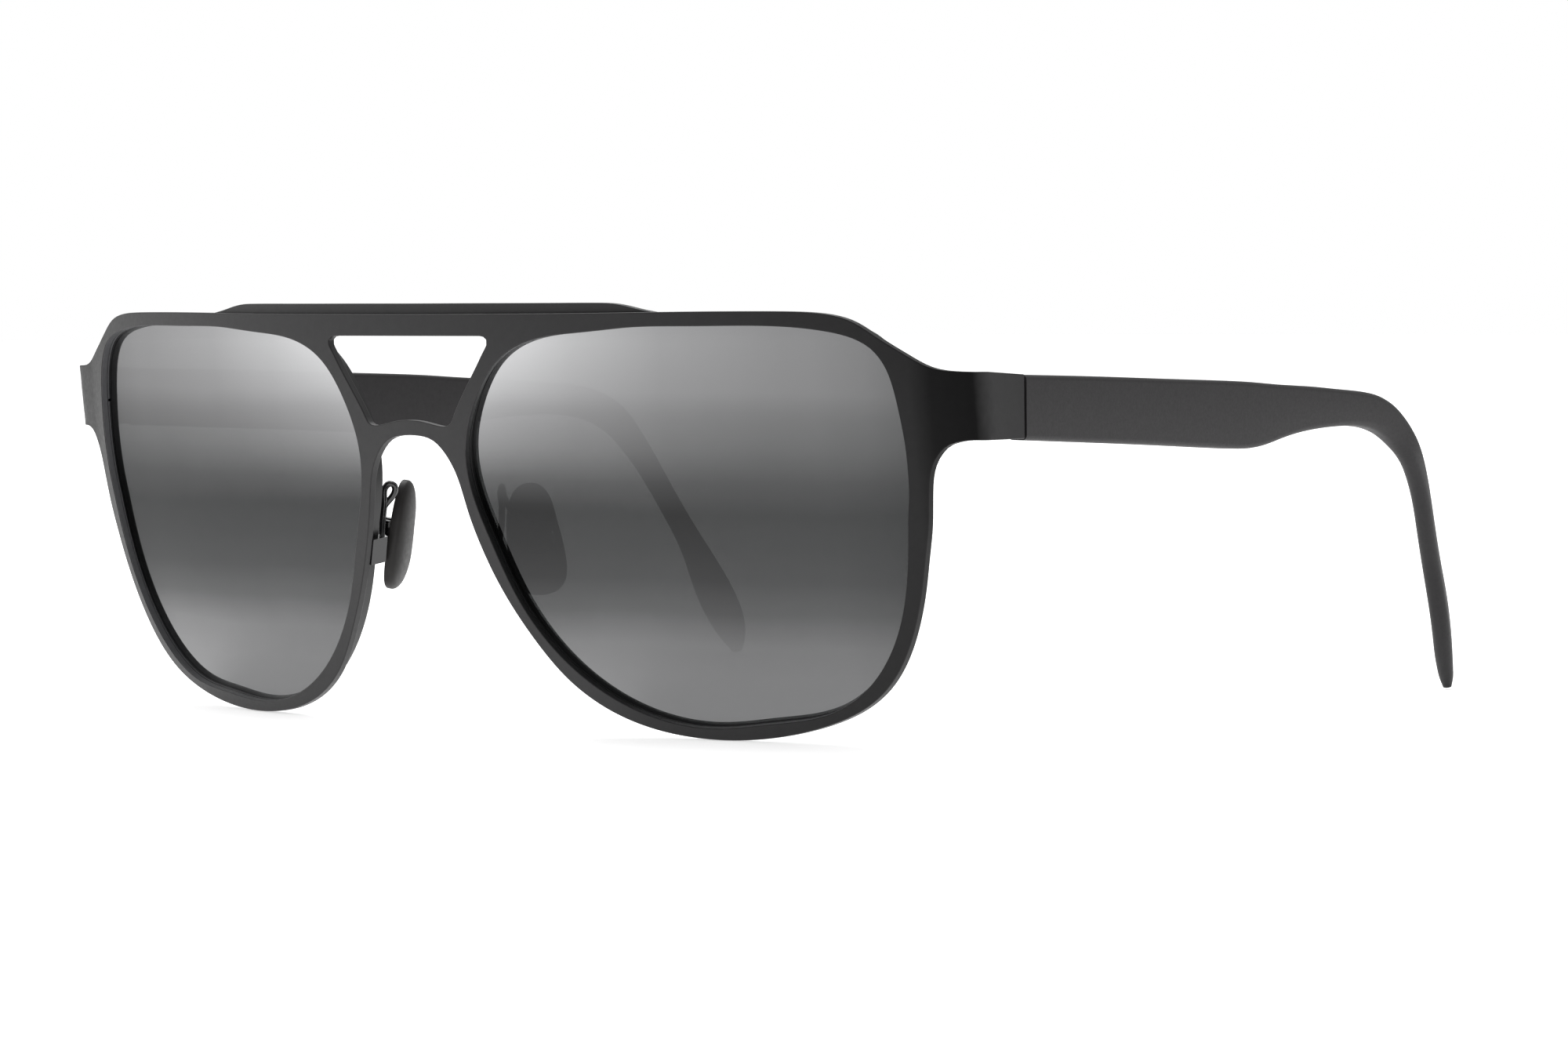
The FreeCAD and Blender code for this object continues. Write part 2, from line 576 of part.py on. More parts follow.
def knuckle(i, bore):
    k = doc.addObject("Part::Cylinder", "knuckle_%d" % i)
    bind(k, Radius=ref("knuckle_r"), Height=ref("knuckle_tall"))
    k.Placement = Placement(Vector(HX, HY, z_first + pitch * i), Rotation())
    return k


def plate(name, x0, x1, y0, y1):
    p = doc.addObject("Part::Box", name)
    p.Length, p.Width = x1 - x0, y1 - y0
    bind(p, Height=ref("plate_tall"))
    p.Placement = Placement(Vector(x0, y0, HZ - D["plate_tall"] / 2), Rotation())
    return p


front_plate = plate("front_hinge_plate", 70.35, 72.2, JY - 5.6, JY - 0.02)
fp1 = boolean("Cut", "front_plate_fit", front_plate, strip_l)
front_web = plate("front_hinge_web", HX - 0.4, 70.6, JY - 3.4, JY - 0.02)
gap_tools = []
for i in (1, 3):
    g = doc.addObject("Part::Cylinder", "front_gap_%d" % i)
    bind(g, Radius="Dimensions.knuckle_r + 0.12", Height="Dimensions.knuckle_pitch + 0.08")
    g.Placement = Placement(Vector(HX, HY, HZ - pitch * n_knuckles / 2 + pitch * i - 0.04), Rotation())
    gap_tools.append(g)
front_solid = fuse("front_hinge_solid", [fp1, front_web, knuckle(0, 0), knuckle(2, 0), knuckle(4, 0)])
bore_f = doc.addObject("Part::Cylinder", "front_hinge_bore")
bind(bore_f, Radius=ref("hinge_bore_front"))
bore_f.Height = 8.0
bore_f.Placement = Placement(Vector(HX, HY, HZ - 4.0), Rotation())
gaps = fuse("front_hinge_gaps", gap_tools)
front_h1 = boolean("Cut", "front_hinge_gapped", front_solid, gaps)
front_hinge = boolean("Cut", "front_hinge_bored", front_h1, bore_f)
pair("front_hinge_left", front_hinge)

hs_shank = doc.addObject("Part::Cylinder", "hinge_screw_shank")
bind(hs_shank, Radius=ref("hinge_screw_r"), Height=ref("hinge_screw_len"))
z_head = HZ + D["plate_tall"] / 2
hs_shank.Placement = Placement(Vector(HX, HY, z_head - D["hinge_screw_len"]), Rotation())
hs_head = doc.addObject("Part::Cylinder", "hinge_screw_head")
bind(hs_head, Radius=ref("hinge_head_r"), Height=ref("hinge_head_tall"))
hs_head.Placement = Placement(Vector(HX, HY, z_head), Rotation())
hs0 = fuse("hinge_screw_solid", [hs_shank, hs_head])
hs_slot = doc.addObject("Part::Box", "hinge_screw_slot")
hs_slot.Length = 3.0
bind(hs_slot, Width=ref("slot_wide"), Height="Dimensions.slot_deep + 1")
hs_slot.Placement = Placement(Vector(HX - 1.5, HY - D["slot_wide"] / 2, z_head + D["hinge_head_tall"] - D["slot_deep"]), Rotation())
pair("hinge_screw_left", boolean("Cut", "hinge_screw_slotted", hs0, hs_slot))

# ------------------------------------------------------------ temples
def sections():
    """Temple sections from the joint to the tip: centre, up, out, tall, thick."""
    secs = []
    n = len(TEMPLE)
    cs = [Vector(t[0], t[1] - YC, t[2]) for t in TEMPLE]
    for i, t in enumerate(TEMPLE):
        if i == 0:
            tan = Vector(-0.085, 1, 0)
        elif t[6] is not None:
            tan = Vector(*t[6])
        elif i == n - 1:
            tan = cs[i] - cs[i - 1]
        else:
            tan = cs[i + 1] - cs[i - 1]
        tan.normalize()
        phi = math.radians(t[5])
        n0 = Vector(math.cos(phi), math.sin(phi), 0)
        nn = n0 - tan * n0.dot(tan)
        nn.normalize()
        up = nn.cross(tan)
        if i == 0:
            # the front end is cut square to the joint
            tan = Vector(0, 1, 0)
            nn = Vector(1, 0, 0)
            up = Vector(0, 0, 1)
        secs.append((cs[i], up, nn, t[3], t[4]))
    return secs


def blade_section(c, up, out, tall, thick, rad):
    """Rounded flat section: four lines and four corner arcs."""
    ht, hu = thick / 2.0, tall / 2.0
    r = min(rad, 0.96 * ht, 0.96 * hu)
    pieces = []
    corners = ((1, 1), (-1, 1), (-1, -1), (1, -1))
    for k, (sx, sy) in enumerate(corners):
        px, py = corners[k - 1]
        # line from the previous corner, then the corner itself
        if k % 2 == 0:
            a, b, d = (ht * sx, py * (hu - r)), (ht * sx, sy * (hu - r)), (sx * (ht - r), sy * hu)
        else:
            a, b, d = (px * (ht - r), hu * sy), (sx * (ht - r), hu * sy), (ht * sx, sy * (hu - r))
        pieces.append([a, b])
        pieces.append([b, (ht * sx, hu * sy), d])
    return [[c + out * x + up * y for x, y in piece] for piece in pieces]


secs = sections()
arm_sections = []
for i, (c, up, out, tall, thick) in enumerate(secs):
    arm_sections.append(blade_section(c, up, out, tall, thick, 0.6 if i < 8 else 0.6 + 0.12 * (i - 7)))
arm_raw = feature("temple_arm_raw", tube(arm_sections, [q[0] for q in secs]))
core_secs = [q for k, q in enumerate(secs[1:-3]) if k % 2 == 0 or k > 6]
core_sections = [blade_section(c, up, out, tall * D["core_scale"], thick * D["core_scale"], 0.3) for c, up, out, tall, thick in core_secs]
core = feature("temple_core_rod", tube(core_sections, [q[0] for q in core_secs]))
pair("temple_core_left", core)

TANG = Vector(-0.085, 1, 0)
TANG.normalize()
temple_rot = Rotation(Vector(0, 0, 1), math.degrees(math.atan2(-TANG.x, TANG.y)))
TY = JY + D["temple_gap"]
# inner face of the temple at its front end
inner_at = secs[0][0].x - D["temple_thick"] / 2
t_plate = doc.addObject("Part::Box", "temple_hinge_plate")
t_plate.Length, t_plate.Width = 1.1, 8.5
bind(t_plate, Height=ref("plate_tall"))
t_plate.Placement = Placement(Vector(inner_at - 0.75, TY + 1.4, HZ - D["plate_tall"] / 2), temple_rot)
t_webs = []
for i in (1, 3):
    w = doc.addObject("Part::Box", "temple_hinge_web_%d" % i)
    w.Length, w.Width = 0.98, 2.4
    bind(w, Height=ref("knuckle_tall"))
    w.Placement = Placement(Vector(inner_at - 0.72, TY, z_first + pitch * i), Rotation())
    t_webs.append(w)
gap_t = []
for i in (0, 2, 4):
    g = doc.addObject("Part::Cylinder", "temple_gap_%d" % i)
    bind(g, Radius="Dimensions.knuckle_r + 0.12", Height="Dimensions.knuckle_pitch + 0.08")
    g.Placement = Placement(Vector(HX, HY, HZ - pitch * n_knuckles / 2 + pitch * i - 0.04), Rotation())
    gap_t.append(g)
th_solid = fuse("temple_hinge_solid", [t_plate] + t_webs + [knuckle(1, 0), knuckle(3, 0)])
th_gaps = fuse("temple_hinge_gaps", gap_t)
th1 = boolean("Cut", "temple_hinge_gapped", th_solid, th_gaps)
bore_t = doc.addObject("Part::Cylinder", "temple_hinge_bore")
bind(bore_t, Radius=ref("hinge_bore_temple"))
bore_t.Height = 8.0
bore_t.Placement = Placement(Vector(HX, HY, HZ - 4.0), Rotation())
temple_hinge = boolean("Cut", "temple_hinge_bored", th1, bore_t)
pair("temple_hinge_left", temple_hinge)

# pocket for the hinge in the temple's inner side, and the barrel clearance
pocket = doc.addObject("Part::Cylinder", "temple_barrel_pocket")
bind(pocket, Radius="Dimensions.knuckle_r + 0.18")
pocket.Height = 7.2
pocket.Placement = Placement(Vector(HX, HY, HZ - 3.2), Rotation())
arm1 = boolean("Cut", "temple_arm_pocket", arm_raw, pocket)
arm2 = boolean("Cut", "temple_arm_plate", arm1, th_solid)
arm3 = boolean("Cut", "temple_arm_cored", arm2, core)
# flat outer side: a shallow plane where a clip can sit
flat = doc.addObject("Part::Box", "temple_flat_tool")
flat.Length, flat.Width, flat.Height = 4.0, 36.0, 20.0
out0 = secs[0][0].x + D["temple_thick"] / 2
flat.Placement = Placement(Vector(out0 - 0.03 - 0.085 * 3.0, TY + 3.0, 28.0), temple_rot)
arm4 = boolean("Cut", "temple_arm_flat", arm3, flat)
pair("temple_arm_left", arm4)

# ------------------------------------------------------------ nose pads
PAD_O = Vector(10.52, 9.75 - YC, 21.95)
pad_up = Vector(-0.1775, 0.0237, 0.9838)
pad_up.normalize()
pad_side = Vector(-0.5, -0.8660, 0.0)
pad_side = pad_side - pad_up * pad_side.dot(pad_up)
pad_side.normalize()
pad_n = pad_side.cross(pad_up)
PAD_BACK = -0.9


def pad_at(x, y, d):
    return PAD_O + pad_side * x + pad_up * y + pad_n * d


pad_place = frame_placement(pad_at(0, 0, PAD_BACK), pad_side, pad_up, pad_n)


def plane_of(body, role):
    return [f for f in body.Origin.OriginFeatures if f.Role == role][0]


pad_body = doc.addObject("PartDesign::Body", "nose_pad_body")
pad_sk = pad_body.newObject("Sketcher::SketchObject", "nose_pad_outline")
pad_sk.AttachmentSupport = [(plane_of(pad_body, "XY_Plane"), "")]
pad_sk.MapMode = "FlatFace"
pc = Part.BSplineCurve()
pc.interpolate([Vector(a, b, 0) for a, b in PAD], PeriodicFlag=True)
pad_sk.addGeometry(pc, False)
doc.recompute()
pad_pad = pad_body.newObject("PartDesign::Pad", "nose_pad_block")
pad_pad.Profile = pad_sk
bind(pad_pad, Length=ref("pad_thick"))
doc.recompute()
top_edges = []
for i, e in enumerate(pad_pad.Shape.Edges, start=1):
    if abs(e.BoundBox.ZMin - D["pad_thick"]) < 1e-4 and abs(e.BoundBox.ZMax - D["pad_thick"]) < 1e-4:
        top_edges.append("Edge%d" % i)
pad_fil = pad_body.newObject("PartDesign::Fillet", "nose_pad_round")
pad_fil.Base = (pad_pad, top_edges)
bind(pad_fil, Radius=ref("pad_round"))
doc.recompute()
pad_body.Placement = pad_place


def local_box(name, x, y, d, lx, ly, ld):
    """Box centred on x and y, from depth d over ld, in the pad's frame."""
    b = doc.addObject("Part::Box", name)
    b.Length, b.Width, b.Height = lx, ly, ld
    b.Placement = frame_placement(pad_at(x - lx / 2, y - ly / 2, d), pad_side, pad_up, pad_n)
    return b


AX_D = -2.1
ins = local_box("insert_plate", 0, 0, -0.55, D["insert_wide"], D["insert_tall"], D["insert_thick"])
bind(ins, Length=ref("insert_wide"), Width=ref("insert_tall"), Height=ref("insert_thick"))
tab = local_box("insert_tab", 0, 0, AX_D - 0.6, D["tab_wide"], D["tab_tall"], 2.2)
bind(tab, Length=ref("tab_wide"), Width=ref("tab_tall"))
ins0 = fuse("insert_solid", [ins, tab])
side_rot = frame_placement(Vector(0, 0, 0), pad_up, pad_n, pad_side)


def cross_pin(name, radius, x0, length):
    c = doc.addObject("Part::Cylinder", name)
    c.Height = length
    bind(c, Radius=radius)
    c.Placement = Placement(pad_at(x0, 0, AX_D), side_rot.Rotation)
    return c


tab_bore = cross_pin("tab_bore", ref("pad_bore_r"), -3.0, 6.0)
insert = boolean("Cut", "pad_insert_bored", ins0, tab_bore)
pair("pad_insert_left", insert)
pad_cut = boolean("Cut", "nose_pad_fit", pad_body, ins0)
pair("nose_pad_left", pad_cut)

box0 = local_box("pad_box_block", 0, 0, -3.1, D["box_wide"], D["box_tall"], 1.65)
bind(box0, Length=ref("box_wide"), Width=ref("box_tall"))
slot = local_box("pad_box_slot", 0, 0, -2.9, D["tab_wide"] + 0.2, 10.0, 3.0)
box1 = boolean("Cut", "pad_box_slotted", box0, slot)
screw_p = cross_pin("pad_screw_shank", ref("pad_screw_r"), -1.5, 3.3)
head_p = doc.addObject("Part::Cylinder", "pad_screw_head")
head_p.Radius, head_p.Height = 0.68, 0.4
head_p.Placement = Placement(pad_at(-1.9, 0, AX_D), side_rot.Rotation)
ps0 = fuse("pad_screw_solid", [screw_p, head_p])
ps_slot = local_box("pad_screw_slot", -1.9, 0, AX_D - 0.1, 0.36, 3.0, 0.2)
pair("pad_screw_left", boolean("Cut", "pad_screw_slotted", ps0, ps_slot))
box2 = boolean("Cut", "pad_box_bored", box1, screw_p)

# pad arm: a hairpin of wire from the rim lug up, over and down to the box
arm_pts = [Vector(p[0], p[1] - YC, p[2]) for p in ARM_FIXED] + [pad_at(*p) for p in ARM_PAD]
line = Part.BSplineCurve()
line.interpolate(arm_pts)
wire_sections = []
wire_mids = []
count = 26
f0, f1 = line.FirstParameter, line.LastParameter
prev = None
length = line.length()
for i in range(count + 1):
    u = line.parameterAtDistance(length * i / count, f0) if 0 < i < count else (f0 if i == 0 else f1)
    c = line.value(u)
    t = line.tangent(u)[0]
    if prev is None:
        nrm = t.cross(Vector(1, 0, 0))
    else:
        nrm = prev - t * prev.dot(t)
    nrm.normalize()
    prev = nrm
    wire_mids.append(c)
    wire_sections.append(round_section(c, nrm, t.cross(nrm), D["pad_wire_r"]))
arm_wire0 = feature("pad_arm_wire", tube(wire_sections, wire_mids))
lug_out = Vector(-0.919, -0.130, -0.371)
lug_back = Vector(-0.204, 0.965, 0.169)
lug_out = lug_out - lug_back * lug_out.dot(lug_back) / lug_back.dot(lug_back)
lug_out.normalize()
lug_back.normalize()
lug_block = doc.addObject("Part::Box", "pad_lug_block")
lug_block.Length, lug_block.Width, lug_block.Height = 1.1, 2.1, 3.3
lug_block.Placement = frame_placement(Vector(10.02, 3.52 - YC, 22.16), lug_out, lug_back, lug_out.cross(lug_back))
lug0 = boolean("Cut", "pad_lug_front", lug_block, zone)
lug1 = boolean("Cut", "pad_lug_fit", lug0, eyewire)
arm_wire1 = boolean("Cut", "pad_arm_rim_fit", arm_wire0, lug_block)
arm_wire2 = boolean("Cut", "pad_arm_eyewire_fit", arm_wire1, eyewire)
arm_wire = boolean("Cut", "pad_arm_fit", arm_wire2, box0)
pair("pad_arm_left", arm_wire)
pair("pad_lug_left", lug1)
pair("pad_box_left", box2)

# ------------------------------------------------------------ checks, export
doc.recompute()
bad = []
for o in doc.Objects:
    states = list(o.State)
    if "Invalid" in states or "Error" in states:
        bad.append("%s: %s" % (o.Label, states))
for label, o in nodes.items():
    shp = o.Shape
    if shp.isNull() or not shp.isValid() or len(shp.Solids) == 0:
        bad.append("%s: bad shape (null %s, solids %d)" % (label, shp.isNull(), 0 if shp.isNull() else len(shp.Solids)))
if bad:
    raise RuntimeError("part.py: " + "; ".join(bad))

os.makedirs("parts", exist_ok=True)
for old in os.listdir("parts"):
    if old.endswith(".step") and old[:-5] not in nodes:
        os.remove(os.path.join("parts", old))
whole = None
for label, o in nodes.items():
    o.Shape.exportStep(os.path.join("parts", label + ".step"))
    bb = o.Shape.BoundBox
    whole = FreeCAD.BoundBox(bb) if whole is None else whole.united(bb)
    print("%-24s solids %d faces %3d volume %9.3f  x %.2f..%.2f y %.2f..%.2f z %.2f..%.2f" % (
        label, len(o.Shape.Solids), len(o.Shape.Faces), o.Shape.Volume, bb.XMin, bb.XMax, bb.YMin, bb.YMax, bb.ZMin, bb.ZMax))
print("whole", [round(v, 3) for v in (whole.XMin, whole.XMax, whole.YMin, whole.YMax, whole.ZMin, whole.ZMax)])
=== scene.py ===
import bpy, bmesh, math
import numpy as np
from mathutils import Vector, Matrix
from mathutils.geometry import delaunay_2d_cdt


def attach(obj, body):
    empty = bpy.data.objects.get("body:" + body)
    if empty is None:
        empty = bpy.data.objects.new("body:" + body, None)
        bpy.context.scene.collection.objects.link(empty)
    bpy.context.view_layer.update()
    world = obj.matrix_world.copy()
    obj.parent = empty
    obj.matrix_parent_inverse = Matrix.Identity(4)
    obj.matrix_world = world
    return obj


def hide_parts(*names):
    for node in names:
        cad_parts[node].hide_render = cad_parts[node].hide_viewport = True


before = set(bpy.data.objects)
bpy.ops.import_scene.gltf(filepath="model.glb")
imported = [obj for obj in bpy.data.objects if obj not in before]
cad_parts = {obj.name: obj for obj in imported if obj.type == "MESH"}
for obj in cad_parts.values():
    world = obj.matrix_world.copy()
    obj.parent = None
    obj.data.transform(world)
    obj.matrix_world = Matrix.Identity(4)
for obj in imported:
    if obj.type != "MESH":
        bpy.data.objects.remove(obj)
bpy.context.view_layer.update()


# All lengths below are millimetres in the row frame; S turns them to metres.
S = 0.001
YC = 62.4

OPENING = [
    (26.935, 1.513), (27.026, 3.837), (26.978, 6.201), (26.765, 8.599), (26.399, 11.029), (25.908, 13.505),
    (25.042, 15.909), (23.41, 17.927), (20.882, 19.214), (17.998, 19.887), (15.245, 20.267), (12.707, 20.471),
    (10.384, 20.566), (8.256, 20.601), (6.289, 20.604), (4.449, 20.595), (2.701, 20.585), (1.013, 20.579),
    (-0.644, 20.574), (-2.297, 20.56), (-3.967, 20.523), (-5.67, 20.444), (-7.419, 20.307), (-9.239, 20.127),
    (-11.172, 19.929), (-13.273, 19.724), (-15.601, 19.499), (-18.128, 19.139), (-20.714, 18.475), (-23.167, 17.385),
    (-25.267, 15.814), (-26.931, 13.845), (-28.253, 11.622), (-29.3, 9.232), (-29.953, 6.697), (-30.061, 4.074),
    (-29.636, 1.466), (-28.857, -1.046), (-27.918, -3.447), (-26.979, -5.779), (-26.028, -8.074), (-24.984, -10.326),
    (-23.774, -12.502), (-22.374, -14.569), (-20.792, -16.507), (-19.041, -18.295), (-17.137, -19.915), (-15.096, -21.35),
    (-12.94, -22.587), (-10.691, -23.616), (-8.372, -24.431), (-6.004, -25.027), (-3.611, -25.403), (-1.213, -25.558),
    (1.169, -25.498), (3.522, -25.276), (5.862, -24.982), (8.235, -24.7), (10.669, -24.404), (13.121, -23.936),
    (15.492, -23.147), (17.67, -21.964), (19.606, -20.436), (21.276, -18.632), (22.67, -16.62), (23.795, -14.46),
    (24.672, -12.21), (25.331, -9.914), (25.811, -7.607), (26.158, -5.311), (26.419, -3.032), (26.639, -0.764),
]
RIM_C = (37.9754, 7.4213, 26.5363)
RIM_N = (-0.203597, 0.964078, 0.170593)
RIM_E1 = (0.97842, 0.206626, -0.0)
RIM_E2 = (0.035249, -0.166912, 0.985342)
# Sphere through the front edge of the rim: centre x, y, z
SPHERE = (5.366, 161.834, 53.859)
# Upper edge of the front, from the centre to beyond the endpiece: x, z
TOP = [
    (0.0, 48.093), (6.12, 48.103), (12.75, 48.124), (21.93, 48.154), (29.58, 48.215), (35.7, 48.277),
    (42.738, 48.328), (48.45, 48.328), (52.53, 48.287), (55.488, 48.144), (57.63, 47.838), (59.466, 47.246),
    (61.71, 45.829), (63.24, 44.758), (64.872, 43.687), (66.096, 42.891), (67.269, 42.248), (68.544, 41.851),
    (69.972, 41.677), (71.4, 41.616), (74.46, 41.616), (78.03, 41.616), (81.6, 41.616),
]
# Lower edge, from the endpiece round the rim to the nose arch: x, z
LOW = [
    (81.6, 34.088), (78.03, 34.088), (74.46, 34.088), (72.012, 34.129), (70.686, 34.088), (69.666, 33.884),
    (68.697, 33.476), (67.932, 32.742), (67.32, 31.824), (66.861, 30.702), (66.504, 28.968), (66.198, 26.52),
    (65.841, 24.174), (65.28, 21.726), (64.26, 17.646), (62.832, 13.464), (60.894, 9.588), (58.446, 6.426),
    (55.08, 3.876), (51.102, 2.142), (47.022, 1.02), (42.33, 0.245), (38.25, 0.0), (34.68, 0.102),
    (29.376, 0.847), (23.664, 2.774), (18.564, 6.222), (14.688, 10.945), (11.526, 16.157), (9.068, 21.848),
    (7.874, 25.704), (7.293, 28.152), (6.528, 30.294), (5.253, 32.232), (3.672, 33.558), (1.938, 34.068),
    (0.0, 34.18),
]
# Window between the two bridges, right half from the top corner to the middle
WINDOW = [
    (11.016, 45.594), (11.985, 45.553), (12.546, 45.319), (12.75, 44.931), (12.628, 44.523), (12.138, 43.809),
    (11.414, 42.738), (10.129, 40.902), (9.078, 39.423), (8.119, 38.046), (7.344, 36.822), (6.916, 36.057),
    (6.579, 35.598), (6.12, 35.343), (5.508, 35.261), (4.59, 35.353), (3.366, 35.578), (1.734, 35.853),
    (0.0, 35.945),
]
# Brow bar top line
BROW = [
    (0.0, 49.327), (10.2, 49.337), (20.4, 49.337), (27.54, 49.337), (29.988, 49.246), (31.926, 48.94),
    (33.66, 48.572), (35.088, 48.328), (36.108, 48.144),
]
# Temple stations: centre x, y, z, height, thickness, twist, fixed direction
TEMPLE = [
    (71.301, 23.276, 37.546, 7.201, 2.652, 4.86, [-0.085, 1, 0]),
    (70.097, 37.434, 36.97, 7.436, 2.652, 4.86, [-0.085, 1, 0]),
    (68.736, 53.448, 36.251, 7.65, 2.652, 4.86, [-0.085, 1, 0]),
    (67.707, 65.79, 35.675, 7.864, 2.611, 4.86, [-0.085, 1, 0]),
    (67.197, 71.91, 35.511, 7.579, 2.591, 4.86, [-0.085, 1, 0]),
    (66.698, 78.03, 35.797, 6.212, 2.55, 4.86, [-0.085, 1, 0]),
    (66.12, 85.068, 35.986, 5.059, 2.509, 4.86, [-0.085, 1, 0]),
    (65.731, 89.76, 35.909, 4.519, 2.489, 4.86, [-0.085, 1, 0]),
    (65.264, 95.37, 35.649, 4.233, 2.468, 4.86, None),
    (64.843, 100.572, 34.802, 4.284, 2.428, 6, None),
    (64.624, 103.326, 33.742, 4.304, 2.397, 8, None),
    (64.464, 105.876, 32.181, 4.182, 2.366, 11, None),
    (64.413, 108.018, 30.243, 3.825, 2.326, 15, None),
    (64.107, 109.752, 28.152, 3.468, 2.285, 20, None),
    (63.393, 112.2, 24.429, 3.08, 2.244, 28, None),
    (62.495, 114.546, 20.298, 3.04, 2.244, 30, None),
    (61.373, 117.606, 14.892, 3.57, 2.244, 32, None),
    (60.741, 119.646, 10.914, 4.59, 2.275, 34.3, None),
    (60.027, 121.482, 7.038, 5.049, 2.264, 35, None),
    (59.568, 122.502, 4.794, 4.692, 2.193, 35, None),
    (59.282, 123.267, 2.856, 3.774, 1.989, 35, None),
    (59.16, 123.726, 1.326, 2.55, 1.632, 35, None),
    (59.14, 123.93, 0.204, 1.224, 1.02, 35, None),
]
# Nose pad outline: towards the lens, up
PAD = [
    (0.0, 6.65), (-1.5, 6.3), (-2.45, 5.1), (-3.0, 2.6), (-3.4, 0), (-3.6, -2.5),
    (-3.4, -4.5), (-2.4, -5.95), (-0.7, -6.45), (1.1, -6.2), (2.4, -5.2), (3.0, -3.5),
    (3.15, -1.0), (3.0, 1.5), (2.6, 3.8), (1.9, 5.4), (1.0, 6.35),
]
# Pad arm line: first part in the row frame, second in the pad frame
ARM_FIXED = [
    (9.36, 5.18, 21.4), (9.5, 5.4, 22.4), (9.6, 5.58, 23.4), (9.58, 5.75, 24.9), (9.5, 5.83, 26.3),
]
ARM_PAD = [
    (3.65, 5.45, -1.95), (3.4, 6.15, -1.75), (3.2, 6.4, -1.35), (3.05, 6.1, -0.92), (2.98, 5.4, -0.85), (2.9, 4.65, -1.2),
    (2.75, 3.85, -1.75), (2.3, 3.0, -2.15), (1.7, 2.3, -2.35), (1.2, 1.5, -2.4),
]


# ------------------------------------------------------------------ curves
def spline(points, n, closed=False):
    """Evenly sampled cubic spline through points, with chord-length parameters."""
    p = np.array(points, float)
    if closed:
        p = np.vstack([p, p[:1]])
    d = np.sqrt(((p[1:] - p[:-1]) ** 2).sum(1))
    t = np.concatenate([[0], np.cumsum(d)])
    m = len(p)
    h = np.diff(t)
    A = np.zeros((m, m))
    B = np.zeros((m, p.shape[1]))
    for i in range(1, m - 1):
        A[i, i - 1], A[i, i], A[i, i + 1] = h[i - 1], 2 * (h[i - 1] + h[i]), h[i]
        B[i] = 6 * ((p[i + 1] - p[i]) / h[i] - (p[i] - p[i - 1]) / h[i - 1])
    if closed:
        A[0, 0], A[0, 1], A[0, m - 2], A[0, m - 1] = 2 * h[0], h[0], h[-1], 2 * h[-1]
        B[0] = 6 * ((p[1] - p[0]) / h[0] - (p[-1] - p[-2]) / h[-1])
        A[m - 1, 0], A[m - 1, m - 1] = 1, -1
    else:
        A[0, 0] = A[m - 1, m - 1] = 1
    M = np.linalg.solve(A, B)

    def at(u):
        i = np.clip(np.searchsorted(t, u, side="right") - 1, 0, m - 2)
        a, b = (t[i + 1] - u)[:, None], (u - t[i])[:, None]
        hh = h[i][:, None]
        return (M[i] * a ** 3 + M[i + 1] * b ** 3) / (6 * hh) + (p[i] / hh - M[i] * hh / 6) * a + (p[i + 1] / hh - M[i + 1] * hh / 6) * b

    fine = at(np.linspace(0, t[-1], 40 * m))
    s = np.concatenate([[0], np.cumsum(np.sqrt(((fine[1:] - fine[:-1]) ** 2).sum(1)))])
    want = np.linspace(0, s[-1], n + 1 if closed else n)
    out = np.stack([np.interp(want, s, fine[:, k]) for k in range(p.shape[1])], 1)
    return out[:-1] if closed else out


def inside(poly, q):
    """Points q inside the closed polygon poly."""
    x, y = q[:, 0], q[:, 1]
    r = np.zeros(len(q), bool)
    a = poly
    b = np.roll(poly, -1, 0)
    for (x0, y0), (x1, y1) in zip(a, b):
        if y0 == y1:
            continue
        c = ((y0 > y) != (y1 > y)) & (x < (x1 - x0) * (y - y0) / (y1 - y0) + x0)
        r ^= c
    return r


def dist(poly, q):
    """Distance from points q to the closed polygon's line."""
    best = np.full(len(q), 1e9)
    b = np.roll(poly, -1, 0)
    for p0, p1 in zip(poly, b):
        d = p1 - p0
        l2 = (d * d).sum()
        if l2 < 1e-12:
            continue
        u = np.clip(((q - p0) @ d) / l2, 0, 1)
        e = q - (p0 + u[:, None] * d)
        best = np.minimum(best, np.sqrt((e * e).sum(1)))
    return best


# ------------------------------------------------------------ front surface
def face_y(x, z):
    h = 40.8 - z
    x2 = x * x
    return x2 / 515.604 + 1.8296e-7 * x2 * x2 + 0.04993 * h + 3.9438e-3 * h * h + 7.8697e-6 * x2 * h - YC


STRIP, BEND, RB, TH, DEEP = 71.2, 72.0, 1.33, 0.9, 0.95
JOINT = 23.07 - YC
A1 = math.radians(91.2)


def plan0(x):
    return x * x / 515.604 + 1.8296e-7 * x ** 4 - YC


A0 = math.atan((plan0(BEND + 0.01) - plan0(BEND - 0.01)) / 0.02)
BC = (BEND - RB * math.sin(A0), plan0(BEND) + RB * math.cos(A0))
S_BEND = math.hypot(BEND - STRIP, plan0(BEND) - plan0(STRIP))
S_ARC = RB * (A1 - A0)


def lift(z):
    h = 40.8 - z
    return (0.04993 + 7.8697e-6 * STRIP * STRIP) * h + 3.9438e-3 * h * h


